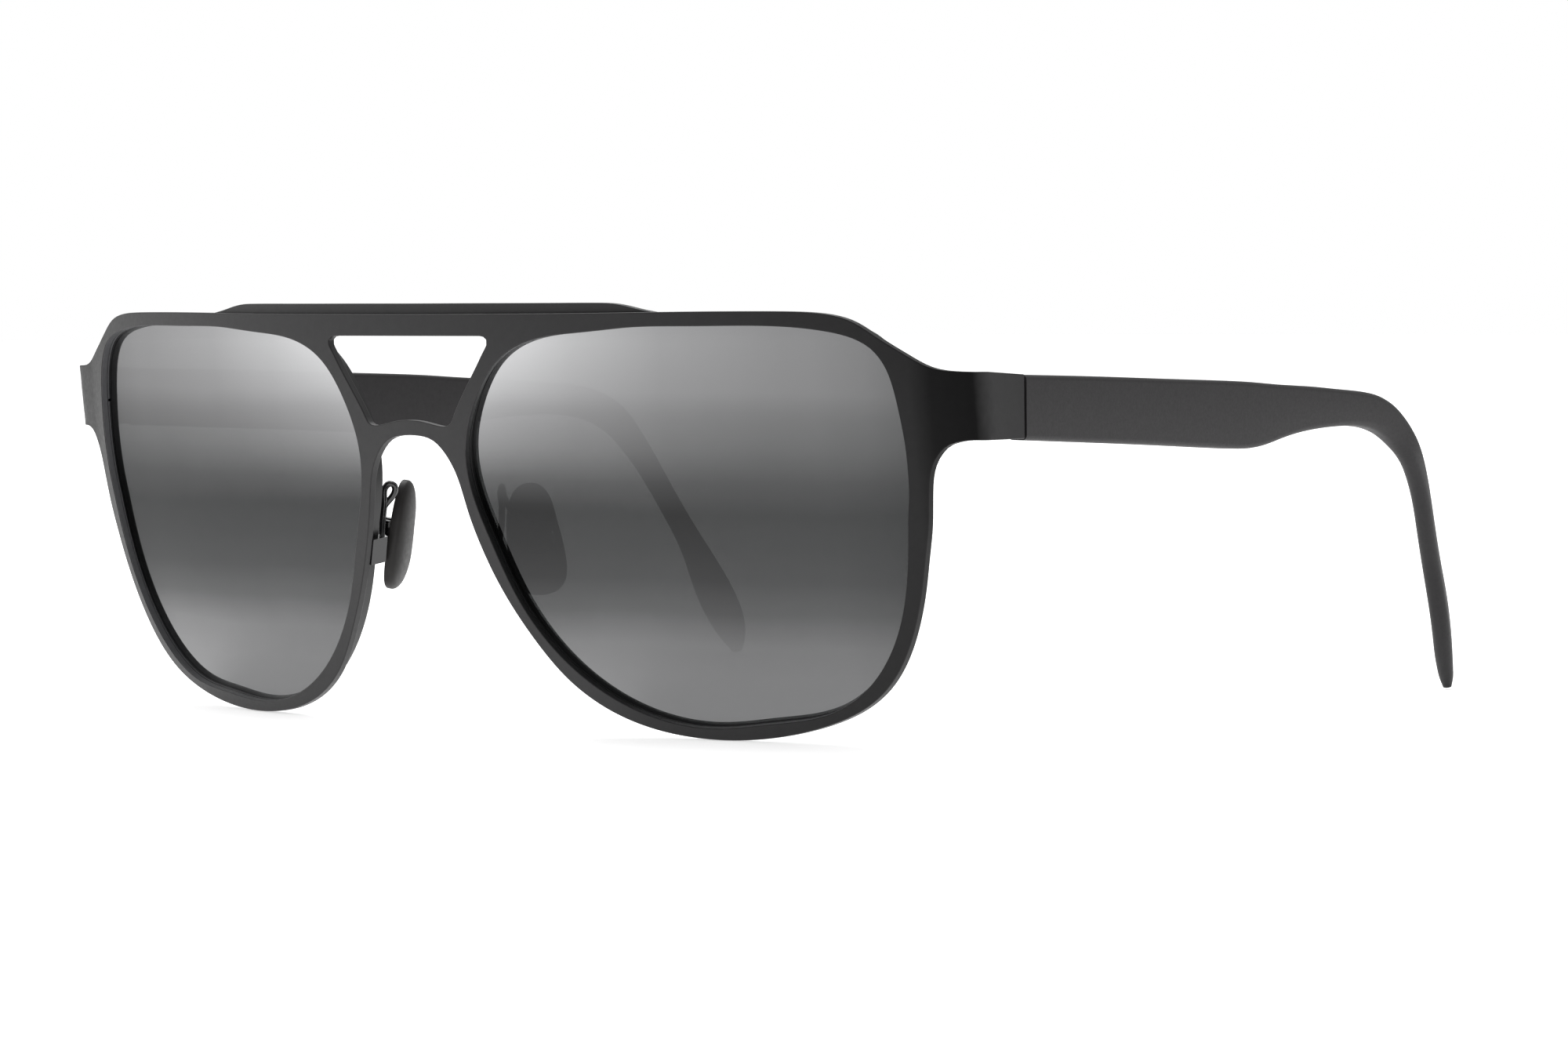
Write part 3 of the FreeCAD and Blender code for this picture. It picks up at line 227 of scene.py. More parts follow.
def strip_point(s, z):
    """Outside and inside points of the bent endpiece, s along it from STRIP."""
    g = lift(z)
    if s <= S_BEND:
        f = s / S_BEND
        ox, oy = STRIP + (BEND - STRIP) * f, plan0(STRIP) + (plan0(BEND) - plan0(STRIP)) * f
        p7 = (STRIP, plan0(STRIP) + DEEP)
        q = (BC[0] + (RB - TH) * math.sin(A0), BC[1] - (RB - TH) * math.cos(A0))
        ix, iy = p7[0] + (q[0] - p7[0]) * f, p7[1] + (q[1] - p7[1]) * f
    elif s <= S_BEND + S_ARC:
        t = A0 + (A1 - A0) * (s - S_BEND) / S_ARC
        ox, oy = BC[0] + RB * math.sin(t), BC[1] - RB * math.cos(t)
        ix, iy = BC[0] + (RB - TH) * math.sin(t), BC[1] - (RB - TH) * math.cos(t)
    else:
        r = s - S_BEND - S_ARC
        dx, dy = r * math.cos(A1), r * math.sin(A1)
        ox, oy = BC[0] + RB * math.sin(A1) + dx, BC[1] - RB * math.cos(A1) + dy
        ix, iy = BC[0] + (RB - TH) * math.sin(A1) + dx, BC[1] - (RB - TH) * math.cos(A1) + dy
    return (ox, oy + g, z), (ix, iy + g, z)


# rim plane frame
RIM_O = np.array([RIM_C[0], RIM_C[1] - YC, RIM_C[2]])
NB = np.array(RIM_N)
E1 = np.array(RIM_E1)
E2 = np.array(RIM_E2)
SC = np.array([SPHERE[0], SPHERE[1] - YC, SPHERE[2]])
SPH_R = 162.336
open_2d = spline(OPENING, 300, True)


def normals_2d(p):
    t = np.roll(p, -1, 0) - np.roll(p, 1, 0)
    t /= np.sqrt((t * t).sum(1))[:, None]
    n = np.stack([t[:, 1], -t[:, 0]], 1)
    if (n * p).sum() < 0:
        n = -n
    return n


def to_space(p2):
    return RIM_O + p2[:, :1] * E1 + p2[:, 1:2] * E2


def on_face(p, back=0.0):
    """Slides points along the rim axis onto the front surface moved back."""
    q = p.copy()
    for k in range(30):
        f = q[:, 1] - (face_y(q[:, 0], q[:, 2]) + back)
        q = q - NB * (f / 0.93)[:, None]
    return q


def on_sphere(p, r):
    d = p - SC
    b = d @ NB
    c = (d * d).sum(1) - r * r
    t = -b - np.sqrt(np.maximum(b * b - c, 0))
    return p + t[:, None] * NB


# ------------------------------------------------------------ mesh helpers
def make(name, verts, faces, mats, smooth=True, face_mat=None):
    me = bpy.data.meshes.new(name)
    me.from_pydata([tuple(v) for v in np.array(verts, float) * S], [], faces)
    me.update()
    bm = bmesh.new()
    bm.from_mesh(me)
    bmesh.ops.remove_doubles(bm, verts=bm.verts, dist=1e-7)
    bmesh.ops.recalc_face_normals(bm, faces=bm.faces)
    bm.to_mesh(me)
    bm.free()
    for m in mats:
        me.materials.append(m)
    if smooth:
        for p in me.polygons:
            p.use_smooth = True
    ob = bpy.data.objects.new(name, me)
    bpy.context.scene.collection.objects.link(ob)
    return ob


def apply_mods(ob):
    dg = bpy.context.evaluated_depsgraph_get()
    me = bpy.data.meshes.new_from_object(ob.evaluated_get(dg))
    old = ob.data
    ob.modifiers.clear()
    ob.data = me
    bpy.data.meshes.remove(old)


def bevel(ob, width, segments=2, angle=35, harden=True):
    m = ob.modifiers.new("edge", "BEVEL")
    m.width = width * S
    m.segments = segments
    m.limit_method = "ANGLE"
    m.angle_limit = math.radians(angle)
    m.harden_normals = harden
    m.miter_outer = "MITER_SHARP"
    m.use_clamp_overlap = True
    return m


def mirror_copy(ob, name):
    me = ob.data.copy()
    me.transform(Matrix.Scale(-1, 4, (1, 0, 0)))
    me.flip_normals()
    o = bpy.data.objects.new(name, me)
    bpy.context.scene.collection.objects.link(o)
    return o


# --------------------------------------------------------------- materials
def principled(name):
    m = bpy.data.materials.new(name)
    m.use_nodes = True
    nt = m.node_tree
    b = nt.nodes["Principled BSDF"]
    return m, nt, b


def noise(nt, scale, detail=3.0, rough=0.5):
    tc = nt.nodes.new("ShaderNodeTexCoord")
    n = nt.nodes.new("ShaderNodeTexNoise")
    n.inputs["Scale"].default_value = scale
    n.inputs["Detail"].default_value = detail
    n.inputs["Roughness"].default_value = rough
    nt.links.new(tc.outputs["Object"], n.inputs["Vector"])
    return n


def ramp(nt, src, stops):
    r = nt.nodes.new("ShaderNodeValToRGB")
    cr = r.color_ramp
    while len(cr.elements) > 1:
        cr.elements.remove(cr.elements[-1])
    cr.elements[0].position, cr.elements[0].color = stops[0][0], stops[0][1]
    for pos, col in stops[1:]:
        e = cr.elements.new(pos)
        e.color = col
    nt.links.new(src, r.inputs["Fac"])
    return r


def grey(v, a=1.0):
    if isinstance(v, (int, float)):
        return (v, v, v, a)
    return (v[0], v[1], v[2], a)


def coated(name, dark, light, scale, rough_lo, rough_hi, bump, metallic=0.0, spec=0.5, coat=0.0, sheen=0.0):
    """Painted or moulded surface: mottled colour, varied gloss, fine grain."""
    m, nt, b = principled(name)
    n = noise(nt, scale, 4.0, 0.55)
    r = ramp(nt, n.outputs["Fac"], [(0.3, grey(dark)), (0.7, grey(light))])
    nt.links.new(r.outputs["Color"], b.inputs["Base Color"])
    n2 = noise(nt, scale * 2.3, 3.0, 0.6)
    rr = ramp(nt, n2.outputs["Fac"], [(0.3, grey(rough_lo)), (0.7, grey(rough_hi))])
    nt.links.new(rr.outputs["Color"], b.inputs["Roughness"])
    n3 = noise(nt, scale * 6.0, 2.0, 0.6)
    bp = nt.nodes.new("ShaderNodeBump")
    bp.inputs["Strength"].default_value = bump
    bp.inputs["Distance"].default_value = 0.00004
    nt.links.new(n3.outputs["Fac"], bp.inputs["Height"])
    nt.links.new(bp.outputs["Normal"], b.inputs["Normal"])
    b.inputs["Metallic"].default_value = metallic
    b.inputs["Specular IOR Level"].default_value = spec
    b.inputs["Coat Weight"].default_value = coat
    b.inputs["Coat Roughness"].default_value = 0.12
    b.inputs["Sheen Weight"].default_value = sheen
    b.inputs["Sheen Roughness"].default_value = 0.5
    return m


M_FRONT = coated("front_paint", (0.0098, 0.0092, 0.0100), (0.0128, 0.0122, 0.0130), 900.0, 0.36, 0.44, 0.12, 0.0, 0.42)
# painted shade: base colour and specular of the front are darkened towards the two ends, deepest around the endpiece
# bend, with painted light making the side face behind the bend lighter again
nt = M_FRONT.node_tree
b = nt.nodes["Principled BSDF"]
tc = nt.nodes.new("ShaderNodeTexCoord")
sx_ = nt.nodes.new("ShaderNodeSeparateXYZ")
nt.links.new(tc.outputs["Object"], sx_.inputs["Vector"])
ab = nt.nodes.new("ShaderNodeMath")
ab.operation = "ABSOLUTE"
nt.links.new(sx_.outputs["X"], ab.inputs[0])
me_ = nt.nodes.new("ShaderNodeMath")
me_.operation = "MULTIPLY"
me_.inputs[1].default_value = 1000.0 / 72.69
nt.links.new(ab.outputs["Value"], me_.inputs[0])
end_painted_shade = ramp(nt, me_.outputs["Value"], [(0.0, grey(1.0)), (0.55, grey(0.90)), (0.80, grey(0.70)), (0.90, grey(0.56)), (0.93, grey(0.26)), (0.988, grey(0.20)), (0.9985, grey(0.72)), (1.0, grey(0.80))])
src = b.inputs["Base Color"].links[0].from_socket
mm_ = nt.nodes.new("ShaderNodeMix")
mm_.data_type = "RGBA"
mm_.blend_type = "MULTIPLY"
mm_.inputs[0].default_value = 1.0
nt.links.new(src, mm_.inputs[6])
nt.links.new(end_painted_shade.outputs["Color"], mm_.inputs[7])
nt.links.new(mm_.outputs[2], b.inputs["Base Color"])
sp_ = nt.nodes.new("ShaderNodeMath")
sp_.operation = "MULTIPLY"
sp_.inputs[1].default_value = 0.42
nt.links.new(end_painted_shade.outputs["Color"], sp_.inputs[0])
nt.links.new(sp_.outputs["Value"], b.inputs["Specular IOR Level"])
M_BAR = coated("bar_paint", (0.0098, 0.0092, 0.0100), (0.0128, 0.0122, 0.0130), 900.0, 0.36, 0.44, 0.12, 0.0, 0.42)
M_WIRE = coated("rim_wire_paint", (0.020, 0.020, 0.021), (0.028, 0.028, 0.029), 1200.0, 0.26, 0.34, 0.08, 0.0, 0.7)
M_HINGE = coated("hinge_paint", (0.008, 0.008, 0.009), (0.013, 0.013, 0.014), 1200.0, 0.28, 0.38, 0.08, 0.3)
M_PADWIRE = coated("pad_wire_paint", (0.005, 0.005, 0.0055), (0.008, 0.008, 0.0085), 1500.0, 0.14, 0.22, 0.05, 0.0, 0.6, 0.4)
M_TEMPLE = coated("soft_touch", (0.0125, 0.0114, 0.0124), (0.0160, 0.0148, 0.0159), 1400.0, 0.50, 0.60, 0.16, 0.0, 0.30, 0.0, 0.03)
M_PAD = coated("pad_silicone", (0.0130, 0.0118, 0.0114), (0.0170, 0.0155, 0.0150), 700.0, 0.42, 0.52, 0.05, 0.0, 0.27)
M_SCREW = coated("screw_steel", (0.30, 0.30, 0.31), (0.42, 0.42, 0.43), 2500.0, 0.24, 0.38, 0.10, 1.0)
M_STEEL = coated("core_steel", (0.35, 0.35, 0.36), (0.45, 0.45, 0.46), 1500.0, 0.30, 0.42, 0.10, 1.0)

# inner wall of each lens opening: painted light, a light base colour scaled by a ramp on |x| so the wall is nearly
# black at the nasal side and lighter towards the temporal side where it faces the room
M_WALL = coated("opening_wall_painted_light", (0.75, 0.75, 0.79), (0.85, 0.85, 0.89), 1200.0, 0.30, 0.40, 0.08, 0.0, 0.6)
nt = M_WALL.node_tree
b = nt.nodes["Principled BSDF"]
tc = nt.nodes.new("ShaderNodeTexCoord")
sw_ = nt.nodes.new("ShaderNodeSeparateXYZ")
nt.links.new(tc.outputs["Object"], sw_.inputs["Vector"])
ab = nt.nodes.new("ShaderNodeMath")
ab.operation = "ABSOLUTE"
nt.links.new(sw_.outputs["X"], ab.inputs[0])
me_ = nt.nodes.new("ShaderNodeMath")
me_.operation = "MULTIPLY"
me_.inputs[1].default_value = 1000.0 / 72.69
nt.links.new(ab.outputs["Value"], me_.inputs[0])
wall_painted_light = ramp(nt, me_.outputs["Value"], [(0.35, grey(0.012)), (0.62, grey(0.10)), (0.95, grey(0.14))])
src = b.inputs["Base Color"].links[0].from_socket
mm_ = nt.nodes.new("ShaderNodeMix")
mm_.data_type = "RGBA"
mm_.blend_type = "MULTIPLY"
mm_.inputs[0].default_value = 1.0
nt.links.new(src, mm_.inputs[6])
nt.links.new(wall_painted_light.outputs["Color"], mm_.inputs[7])
nt.links.new(mm_.outputs[2], b.inputs["Base Color"])

# lens: a dark tint under a mirror that fades towards a band below the middle
M_LENS = bpy.data.materials.new("mirror_lens")
M_LENS.use_nodes = True
nt = M_LENS.node_tree
nt.nodes.clear()
out = nt.nodes.new("ShaderNodeOutputMaterial")
tc = nt.nodes.new("ShaderNodeTexCoord")
sep = nt.nodes.new("ShaderNodeSeparateXYZ")
nt.links.new(tc.outputs["Object"], sep.inputs["Vector"])
mr = nt.nodes.new("ShaderNodeMapRange")
mr.inputs["From Min"].default_value = 0.0
mr.inputs["From Max"].default_value = 0.048
nt.links.new(sep.outputs["Z"], mr.inputs["Value"])
warp = noise(nt, 60.0, 2.0, 0.5)
amp = nt.nodes.new("ShaderNodeMath")
amp.operation = "MULTIPLY_ADD"
amp.inputs[1].default_value = 0.03
nt.links.new(warp.outputs["Fac"], amp.inputs[0])
nt.links.new(mr.outputs["Result"], amp.inputs[2])
mir_z = ramp(nt, amp.outputs["Value"], [(0.0833, grey(0.280)), (0.1646, grey(0.250)), (0.2417, grey(0.200)), (0.3167, grey(0.098)), (0.3937, grey(0.055)), (0.4708, grey(0.041)), (0.5458, grey(0.033)), (0.6229, grey(0.053)), (0.7000, grey(0.092)), (0.7750, grey(0.120)), (0.8333, grey(0.160)), (0.9375, grey(0.158))])
mir_top = ramp(nt, amp.outputs["Value"], [(0.5625, grey(0.000)), (0.6229, grey(0.050)), (0.7000, grey(0.180)), (0.7917, grey(0.300)), (0.8750, grey(0.520)), (0.9479, grey(0.700))])
# painted shade: two ramps on |x| weaken the mirror towards the temporal sides of both lenses, darkening the reflection
# there; one scales the upper mirror, the other the banded mirror near the outer edge
absx = nt.nodes.new("ShaderNodeMath")
absx.operation = "ABSOLUTE"
nt.links.new(sep.outputs["X"], absx.inputs[0])
mx = nt.nodes.new("ShaderNodeMapRange")
mx.inputs["From Min"].default_value = 0.006
mx.inputs["From Max"].default_value = 0.066
nt.links.new(absx.outputs["Value"], mx.inputs["Value"])
mir_x_painted_shade = ramp(nt, mx.outputs["Result"], [(0.0, grey(0.90)), (0.12, grey(0.72)), (0.30, grey(0.43)), (0.50, grey(0.22)), (0.75, grey(0.11)), (1.0, grey(0.06))])
edge_painted_shade = ramp(nt, mx.outputs["Result"], [(0.80, grey(1.0)), (0.90, grey(0.86)), (0.94, grey(0.74)), (1.0, grey(0.6))])
mul = nt.nodes.new("ShaderNodeMath")
mul.operation = "MULTIPLY"
nt.links.new(mir_top.outputs["Color"], mul.inputs[0])
nt.links.new(mir_x_painted_shade.outputs["Color"], mul.inputs[1])
mzx = nt.nodes.new("ShaderNodeMath")
mzx.operation = "MULTIPLY"
nt.links.new(mir_z.outputs["Color"], mzx.inputs[0])
nt.links.new(edge_painted_shade.outputs["Color"], mzx.inputs[1])
mir = nt.nodes.new("ShaderNodeMath")
mir.operation = "ADD"
nt.links.new(mzx.outputs["Value"], mir.inputs[0])
nt.links.new(mul.outputs["Value"], mir.inputs[1])
glossy = nt.nodes.new("ShaderNodeBsdfPrincipled")
glossy.inputs["Base Color"].default_value = (0.80, 0.80, 0.81, 1)
glossy.inputs["Metallic"].default_value = 1.0
glossy.inputs["Roughness"].default_value = 0.06
tint = nt.nodes.new("ShaderNodeBsdfTransparent")
tint.inputs["Color"].default_value = (0.029, 0.0302, 0.0302, 1)
mix = nt.nodes.new("ShaderNodeMixShader")
nt.links.new(mir.outputs["Value"], mix.inputs["Fac"])
nt.links.new(tint.outputs["BSDF"], mix.inputs[1])
nt.links.new(glossy.outputs["BSDF"], mix.inputs[2])
coat = nt.nodes.new("ShaderNodeBsdfPrincipled")
coat.inputs["Base Color"].default_value = (0.02, 0.021, 0.022, 1)
coat.inputs["Roughness"].default_value = 0.05
coat.inputs["IOR"].default_value = 1.5
mix2 = nt.nodes.new("ShaderNodeMixShader")
mix2.inputs["Fac"].default_value = 0.08
nt.links.new(mix.outputs["Shader"], mix2.inputs[1])
nt.links.new(coat.outputs["BSDF"], mix2.inputs[2])
nt.links.new(mix2.outputs["Shader"], out.inputs["Surface"])

# inner and edge surfaces of the lens: plain dark tint
M_LENSIN = bpy.data.materials.new("lens_back")
M_LENSIN.use_nodes = True
nt = M_LENSIN.node_tree
nt.nodes.clear()
out = nt.nodes.new("ShaderNodeOutputMaterial")
tint = nt.nodes.new("ShaderNodeBsdfTransparent")
tint.inputs["Color"].default_value = (0.80, 0.80, 0.80, 1)
gl = nt.nodes.new("ShaderNodeBsdfPrincipled")
gl.inputs["Base Color"].default_value = (0.03, 0.03, 0.032, 1)
n_in = noise(nt, 400.0, 2.0)
r_in = ramp(nt, n_in.outputs["Fac"], [(0.3, grey(0.04)), (0.7, grey(0.07))])
nt.links.new(r_in.outputs["Color"], gl.inputs["Roughness"])
mix = nt.nodes.new("ShaderNodeMixShader")
mix.inputs["Fac"].default_value = 0.06
nt.links.new(tint.outputs["BSDF"], mix.inputs[1])
nt.links.new(gl.outputs["BSDF"], mix.inputs[2])
nt.links.new(mix.outputs["Shader"], out.inputs["Surface"])

# ------------------------------------------------------------ front sheet
STEP = 0.75


def clip_line(pts, x):
    """Ends an x-increasing line exactly at x."""
    keep = [p for p in pts if p[0] < x - 0.05]
    for a, b in zip(pts[:-1], pts[1:]):
        if a[0] < x <= b[0]:
            f = (x - a[0]) / (b[0] - a[0])
            keep.append(a + (b - a) * f)
            break
    return np.array(keep)


top_full = spline([(-x, z) for x, z in reversed(TOP[1:])] + TOP, 900)
top_half = top_full[top_full[:, 0] > -1e-6]
low_full = spline(LOW, 900)[::-1]
top_line = clip_line(top_half, STRIP)
low_line = clip_line(low_full, STRIP)


def resample(p, step, closed=False):
    if closed:
        p = np.vstack([p, p[:1]])
    s = np.concatenate([[0], np.cumsum(np.sqrt(((p[1:] - p[:-1]) ** 2).sum(1)))])
    n = max(2, int(round(s[-1] / step)))
    w = np.linspace(0, s[-1], n + 1)
    o = np.stack([np.interp(w, s, p[:, k]) for k in range(p.shape[1])], 1)
    return o[:-1] if closed else o


def s_end(z):
    return S_BEND + S_ARC + (JOINT - (BC[1] - RB * math.cos(A1)) - lift(z)) / math.sin(A1)


def top_z(s):
    o, i = strip_point(s, 41.6)
    y = o[1]
    base = float(np.interp(min(o[0], 81.0), top_half[:, 0], top_half[:, 1]))
    drop = 41.66 + (41.12 - 41.66) * (y - (15.6 - YC)) / 8.6
    return min(base, drop) if y > 15.6 - YC else base


def low_z(s):
    o, i = strip_point(s, 34.1)
    return float(np.interp(min(o[0], 81.0), low_full[:, 0], low_full[:, 1]))


# endpiece outline in the unrolled strip: s along, z up
n_s = 16
top_strip, low_strip = [], []
se_t, se_l = s_end(41.13), s_end(34.09)
for k in range(1, n_s + 1):
    s = se_t * k / n_s
    top_strip.append((STRIP + s, top_z(s)))
    s = se_l * k / n_s
    low_strip.append((STRIP + s, low_z(s)))
rear_edge = []
zt, zl = top_strip[-1][1], low_strip[-1][1]
for k in range(1, 9):
    z = zt + (zl - zt) * k / 9
    rear_edge.append((STRIP + s_end(z), z))
half_up = np.vstack([resample(top_line, STEP), top_strip])
half_dn = np.vstack([rear_edge, np.array(low_strip)[::-1], resample(low_line[::-1], STEP)])
right_loop = np.vstack([half_up, half_dn])
left_loop = right_loop[::-1] * np.array([-1, 1])
outline = np.vstack([right_loop[:-1], left_loop[:-1][0:]])
keep = [0]
for i in range(1, len(outline)):
    if np.hypot(*(outline[i] - outline[keep[-1]])) > 0.02:
        keep.append(i)
outline = outline[keep]

win = spline(WINDOW, 200)
win_loop = np.vstack([win, (win[::-1] * np.array([-1, 1]))[1:]])
win_loop = resample(win_loop, 0.6)
corner = resample(np.vstack([win_loop[-1:], win_loop[:1]]), 0.7)[1:-1]
win_loop = np.vstack([win_loop, corner])

op_front = on_face(to_space(open_2d))
op_xz = resample(op_front[:, [0, 2]], 0.7, True)
op_xz_r = op_xz[::-1] * np.array([-1, 1])


def sheet_mesh(name, outer, holes, rims, to_front_back, mats, grid=1.3, margin=0.42):
    loops = [outer] + holes
    pts, edges = [], []
    for lp in loops:
        n0 = len(pts)
        pts += [tuple(p) for p in lp]
        edges += [(n0 + i, n0 + (i + 1) % len(lp)) for i in range(len(lp))]
    lo, hi = outer.min(0), outer.max(0)
    gx, gz = np.meshgrid(np.arange(lo[0], hi[0], grid), np.arange(lo[1], hi[1], grid))
    gx = gx + (np.arange(gx.shape[0])[:, None] % 2) * grid / 2
    g = np.stack([gx.ravel(), gz.ravel()], 1)
    ok = inside(outer, g)
    for h in holes:
        ok &= ~inside(h, g)
    g = g[ok]
    for lp in loops:
        g = g[dist(lp, g) > margin]
    pts += [tuple(p) for p in g]
    v, e, f, _, _, _ = delaunay_2d_cdt([Vector(p) for p in pts], edges, [], 0, 1e-5)
    v = np.array([(p.x, p.y) for p in v])
    cen = np.array([v[list(t)].mean(0) for t in f])
    ok = inside(outer, cen)
    for h in holes:
        ok &= ~inside(h, cen)
    tris = [t for t, k in zip(f, ok) if k]
    front, back = to_front_back(v, outer, holes)
    n = len(v)
    verts = np.vstack([front, back])
    faces = [tuple(t) for t in tris] + [tuple(n + i for i in reversed(t)) for t in tris]
    count = {}
    for t in tris:
        for a, b in ((t[0], t[1]), (t[1], t[2]), (t[2], t[0])):
            count[(a, b)] = count.get((a, b), 0) + 1
    for (a, b) in list(count):
        if (b, a) not in count:
            faces.append((b, a, n + a, n + b))
    return make(name, verts, faces, mats)


def front_map(v, outer, holes):
    """Domain points to the front and back of the sheet."""
    sgn = np.sign(v[:, 0])
    ax = np.abs(v[:, 0])
    q = np.stack([ax, v[:, 1]], 1)
    d_op = dist(op_xz, q)
    d_out = np.minimum(dist(outer, v), dist(win_loop, v))
    w = d_out / np.maximum(d_op + d_out, 1e-9)
    F = np.zeros((len(v), 3))
    B = np.zeros((len(v), 3))
    flat = ax <= STRIP + 1e-6
    f0 = np.stack([ax, face_y(ax, v[:, 1]), v[:, 1]], 1)
    dirs = np.array([0.0, 1.0, 0.0]) * (1 - w)[:, None] + NB * (w / 0.964078)[:, None]
    b = f0.copy()
    t = np.full(len(v), DEEP)
    for k in range(8):
        b = f0 + dirs * t[:, None]
        t = t - (b[:, 1] - (face_y(b[:, 0], b[:, 2]) + DEEP)) * 0.97
    b = f0 + dirs * t[:, None]
    F[flat], B[flat] = f0[flat], b[flat]
    for i in np.where(~flat)[0]:
        o, inn = strip_point(ax[i] - STRIP, v[i, 1])
        F[i], B[i] = o, inn
        if B[i, 1] > JOINT:
            B[i, 1] = JOINT
        if F[i, 1] > JOINT:
            F[i, 1] = JOINT
    F[:, 0] *= np.where(sgn < 0, -1, 1)
    B[:, 0] *= np.where(sgn < 0, -1, 1)
    return F, B


front = sheet_mesh("front_sheet", outline, [win_loop, op_xz, op_xz_r], None, front_map, [M_FRONT])
bevel(front, 0.13, 3)
apply_mods(front)
# the inner walls of the openings take the wall material with its painted light
front.data.materials.append(M_WALL)
wall_slot = len(front.data.materials) - 1
fcen = np.array([tuple(p.center) for p in front.data.polygons]) / S
fnor = np.array([tuple(p.normal) for p in front.data.polygons])
near_op = dist(op_xz, np.stack([np.abs(fcen[:, 0]), fcen[:, 2]], 1)) < 0.55
for p, k in zip(front.data.polygons, near_op & (np.abs(fnor[:, 1]) < 0.6)):
    if k:
        p.material_index = wall_slot
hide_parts("front_frame")
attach(front, "front")


# ---------------------------------------------------------------- brow bar
brow_full = spline([(-x, z) for x, z in reversed(BROW[1:])] + BROW, 600)
bx = brow_full[-1, 0]
rim_out = open_2d + normals_2d(open_2d) * 0.85
rim_sp = on_face(to_space(rim_out), 0.95)[:, [0, 2]]
# foot of the bar: follows the rim wire's outer side where that is higher
foot = []
for x in np.arange(-bx, bx + 0.01, 0.8):
    x = min(x, bx)
    near = rim_sp[(np.abs(rim_sp[:, 0] - abs(x)) < 0.7) & (rim_sp[:, 1] > 40)]
    z = 47.05
    if len(near) and near[:, 1].max() + 0.03 > z:
        z = near[:, 1].max() + 0.03
    foot.append((x, z))
foot = np.array(foot)
bar_outline = np.vstack([resample(brow_full, STEP), foot[::-1][1:-1] if abs(foot[-1, 0] - bx) < 0.3 else foot[::-1]])
bar_outline = bar_outline[bar_outline[:, 1] >= 0]


def bar_map(v, outer, holes):
    F = np.stack([v[:, 0], face_y(v[:, 0], v[:, 1]) + 0.95, v[:, 1]], 1)
    B = F + np.array([0, 0.95, 0])
    return F, B


bar = sheet_mesh("brow_bar_piece", bar_outline, [], None, bar_map, [M_BAR], 0.9, 0.3)
bevel(bar, 0.13, 3)
apply_mods(bar)
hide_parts("brow_bar")
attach(bar, "front")

# ------------------------------------------------------------------ lenses
grown_2d = open_2d + normals_2d(open_2d) * 0.40
cen2 = grown_2d.mean(0)
NR, NT = 26, len(grown_2d)
levels = np.concatenate([np.linspace(0, 0.9, NR - 5), [0.94, 0.97, 0.985, 0.995, 1.0]])[1:]


def lens_layer(r, shrink):
    rows = []
    for k in levels:
        p2 = cen2 + (grown_2d - cen2) * k * (1 - shrink)
        rows.append(on_sphere(to_space(p2), r))
    c = on_sphere(to_space(cen2[None, :]), r)
    return np.vstack([c] + rows)


fr = lens_layer(SPH_R - 1.06, 0.0)
rr_ = lens_layer(SPH_R - 1.95, 0.0)
n = len(fr)
faces, fm = [], []
for base, flip in ((0, False), (n, True)):
    for j in range(NT):
        a = (base, base + 1 + j, base + 1 + (j + 1) % NT)
        faces.append(a[::-1] if flip else a)
    for i in range(len(levels) - 1):
        for j in range(NT):
            a, b2 = base + 1 + i * NT + j, base + 1 + i * NT + (j + 1) % NT
            c2, d2 = a + NT, b2 + NT
            q = (a, c2, d2, b2)
            faces.append(q[::-1] if flip else q)
last = 1 + (len(levels) - 1) * NT
for j in range(NT):
    a, b2 = last + j, last + (j + 1) % NT
    faces.append((a, n + a, n + b2, b2))
lens_l = make("lens_left_piece", np.vstack([fr, rr_]), faces, [M_LENS, M_LENSIN])
zc = (SPH_R - 1.55) * S
sc = Vector(SC * S)
for p in lens_l.data.polygons:
    p.material_index = 0 if (p.center - sc).length > zc + 0.0002 else 1
bevel(lens_l, 0.10, 2, 50)
apply_mods(lens_l)
for p in lens_l.data.polygons:
    p.use_smooth = True
lens_r = mirror_copy(lens_l, "lens_right_piece")
for ob, nm in ((lens_l, "lens_left"), (lens_r, "lens_right")):
    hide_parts(nm)
    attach(ob, "front")

# ------------------------------------------------------------- temple arms
def natural(u, y, uu):
    """Natural cubic through (u, y), one column of y at a time."""
    n = len(u)
    h = np.diff(u)
    A = np.zeros((n, n))
    A[0, 0] = A[-1, -1] = 1.0
    B = np.zeros((n, y.shape[1]))
    for i in range(1, n - 1):
        A[i, i - 1], A[i, i], A[i, i + 1] = h[i - 1], 2 * (h[i - 1] + h[i]), h[i]
        B[i] = 6 * ((y[i + 1] - y[i]) / h[i] - (y[i] - y[i - 1]) / h[i - 1])
    M = np.linalg.solve(A, B)
    k = np.clip(np.searchsorted(u, uu) - 1, 0, n - 2)
    a, b_, hk = u[k + 1] - uu, uu - u[k], h[k]
    a, b_, hk = a[:, None], b_[:, None], hk[:, None]
    return (M[k] * a ** 3 + M[k + 1] * b_ ** 3) / (6 * hk) + (y[k] / hk - M[k] * hk / 6) * a + (y[k + 1] / hk - M[k + 1] * hk / 6) * b_


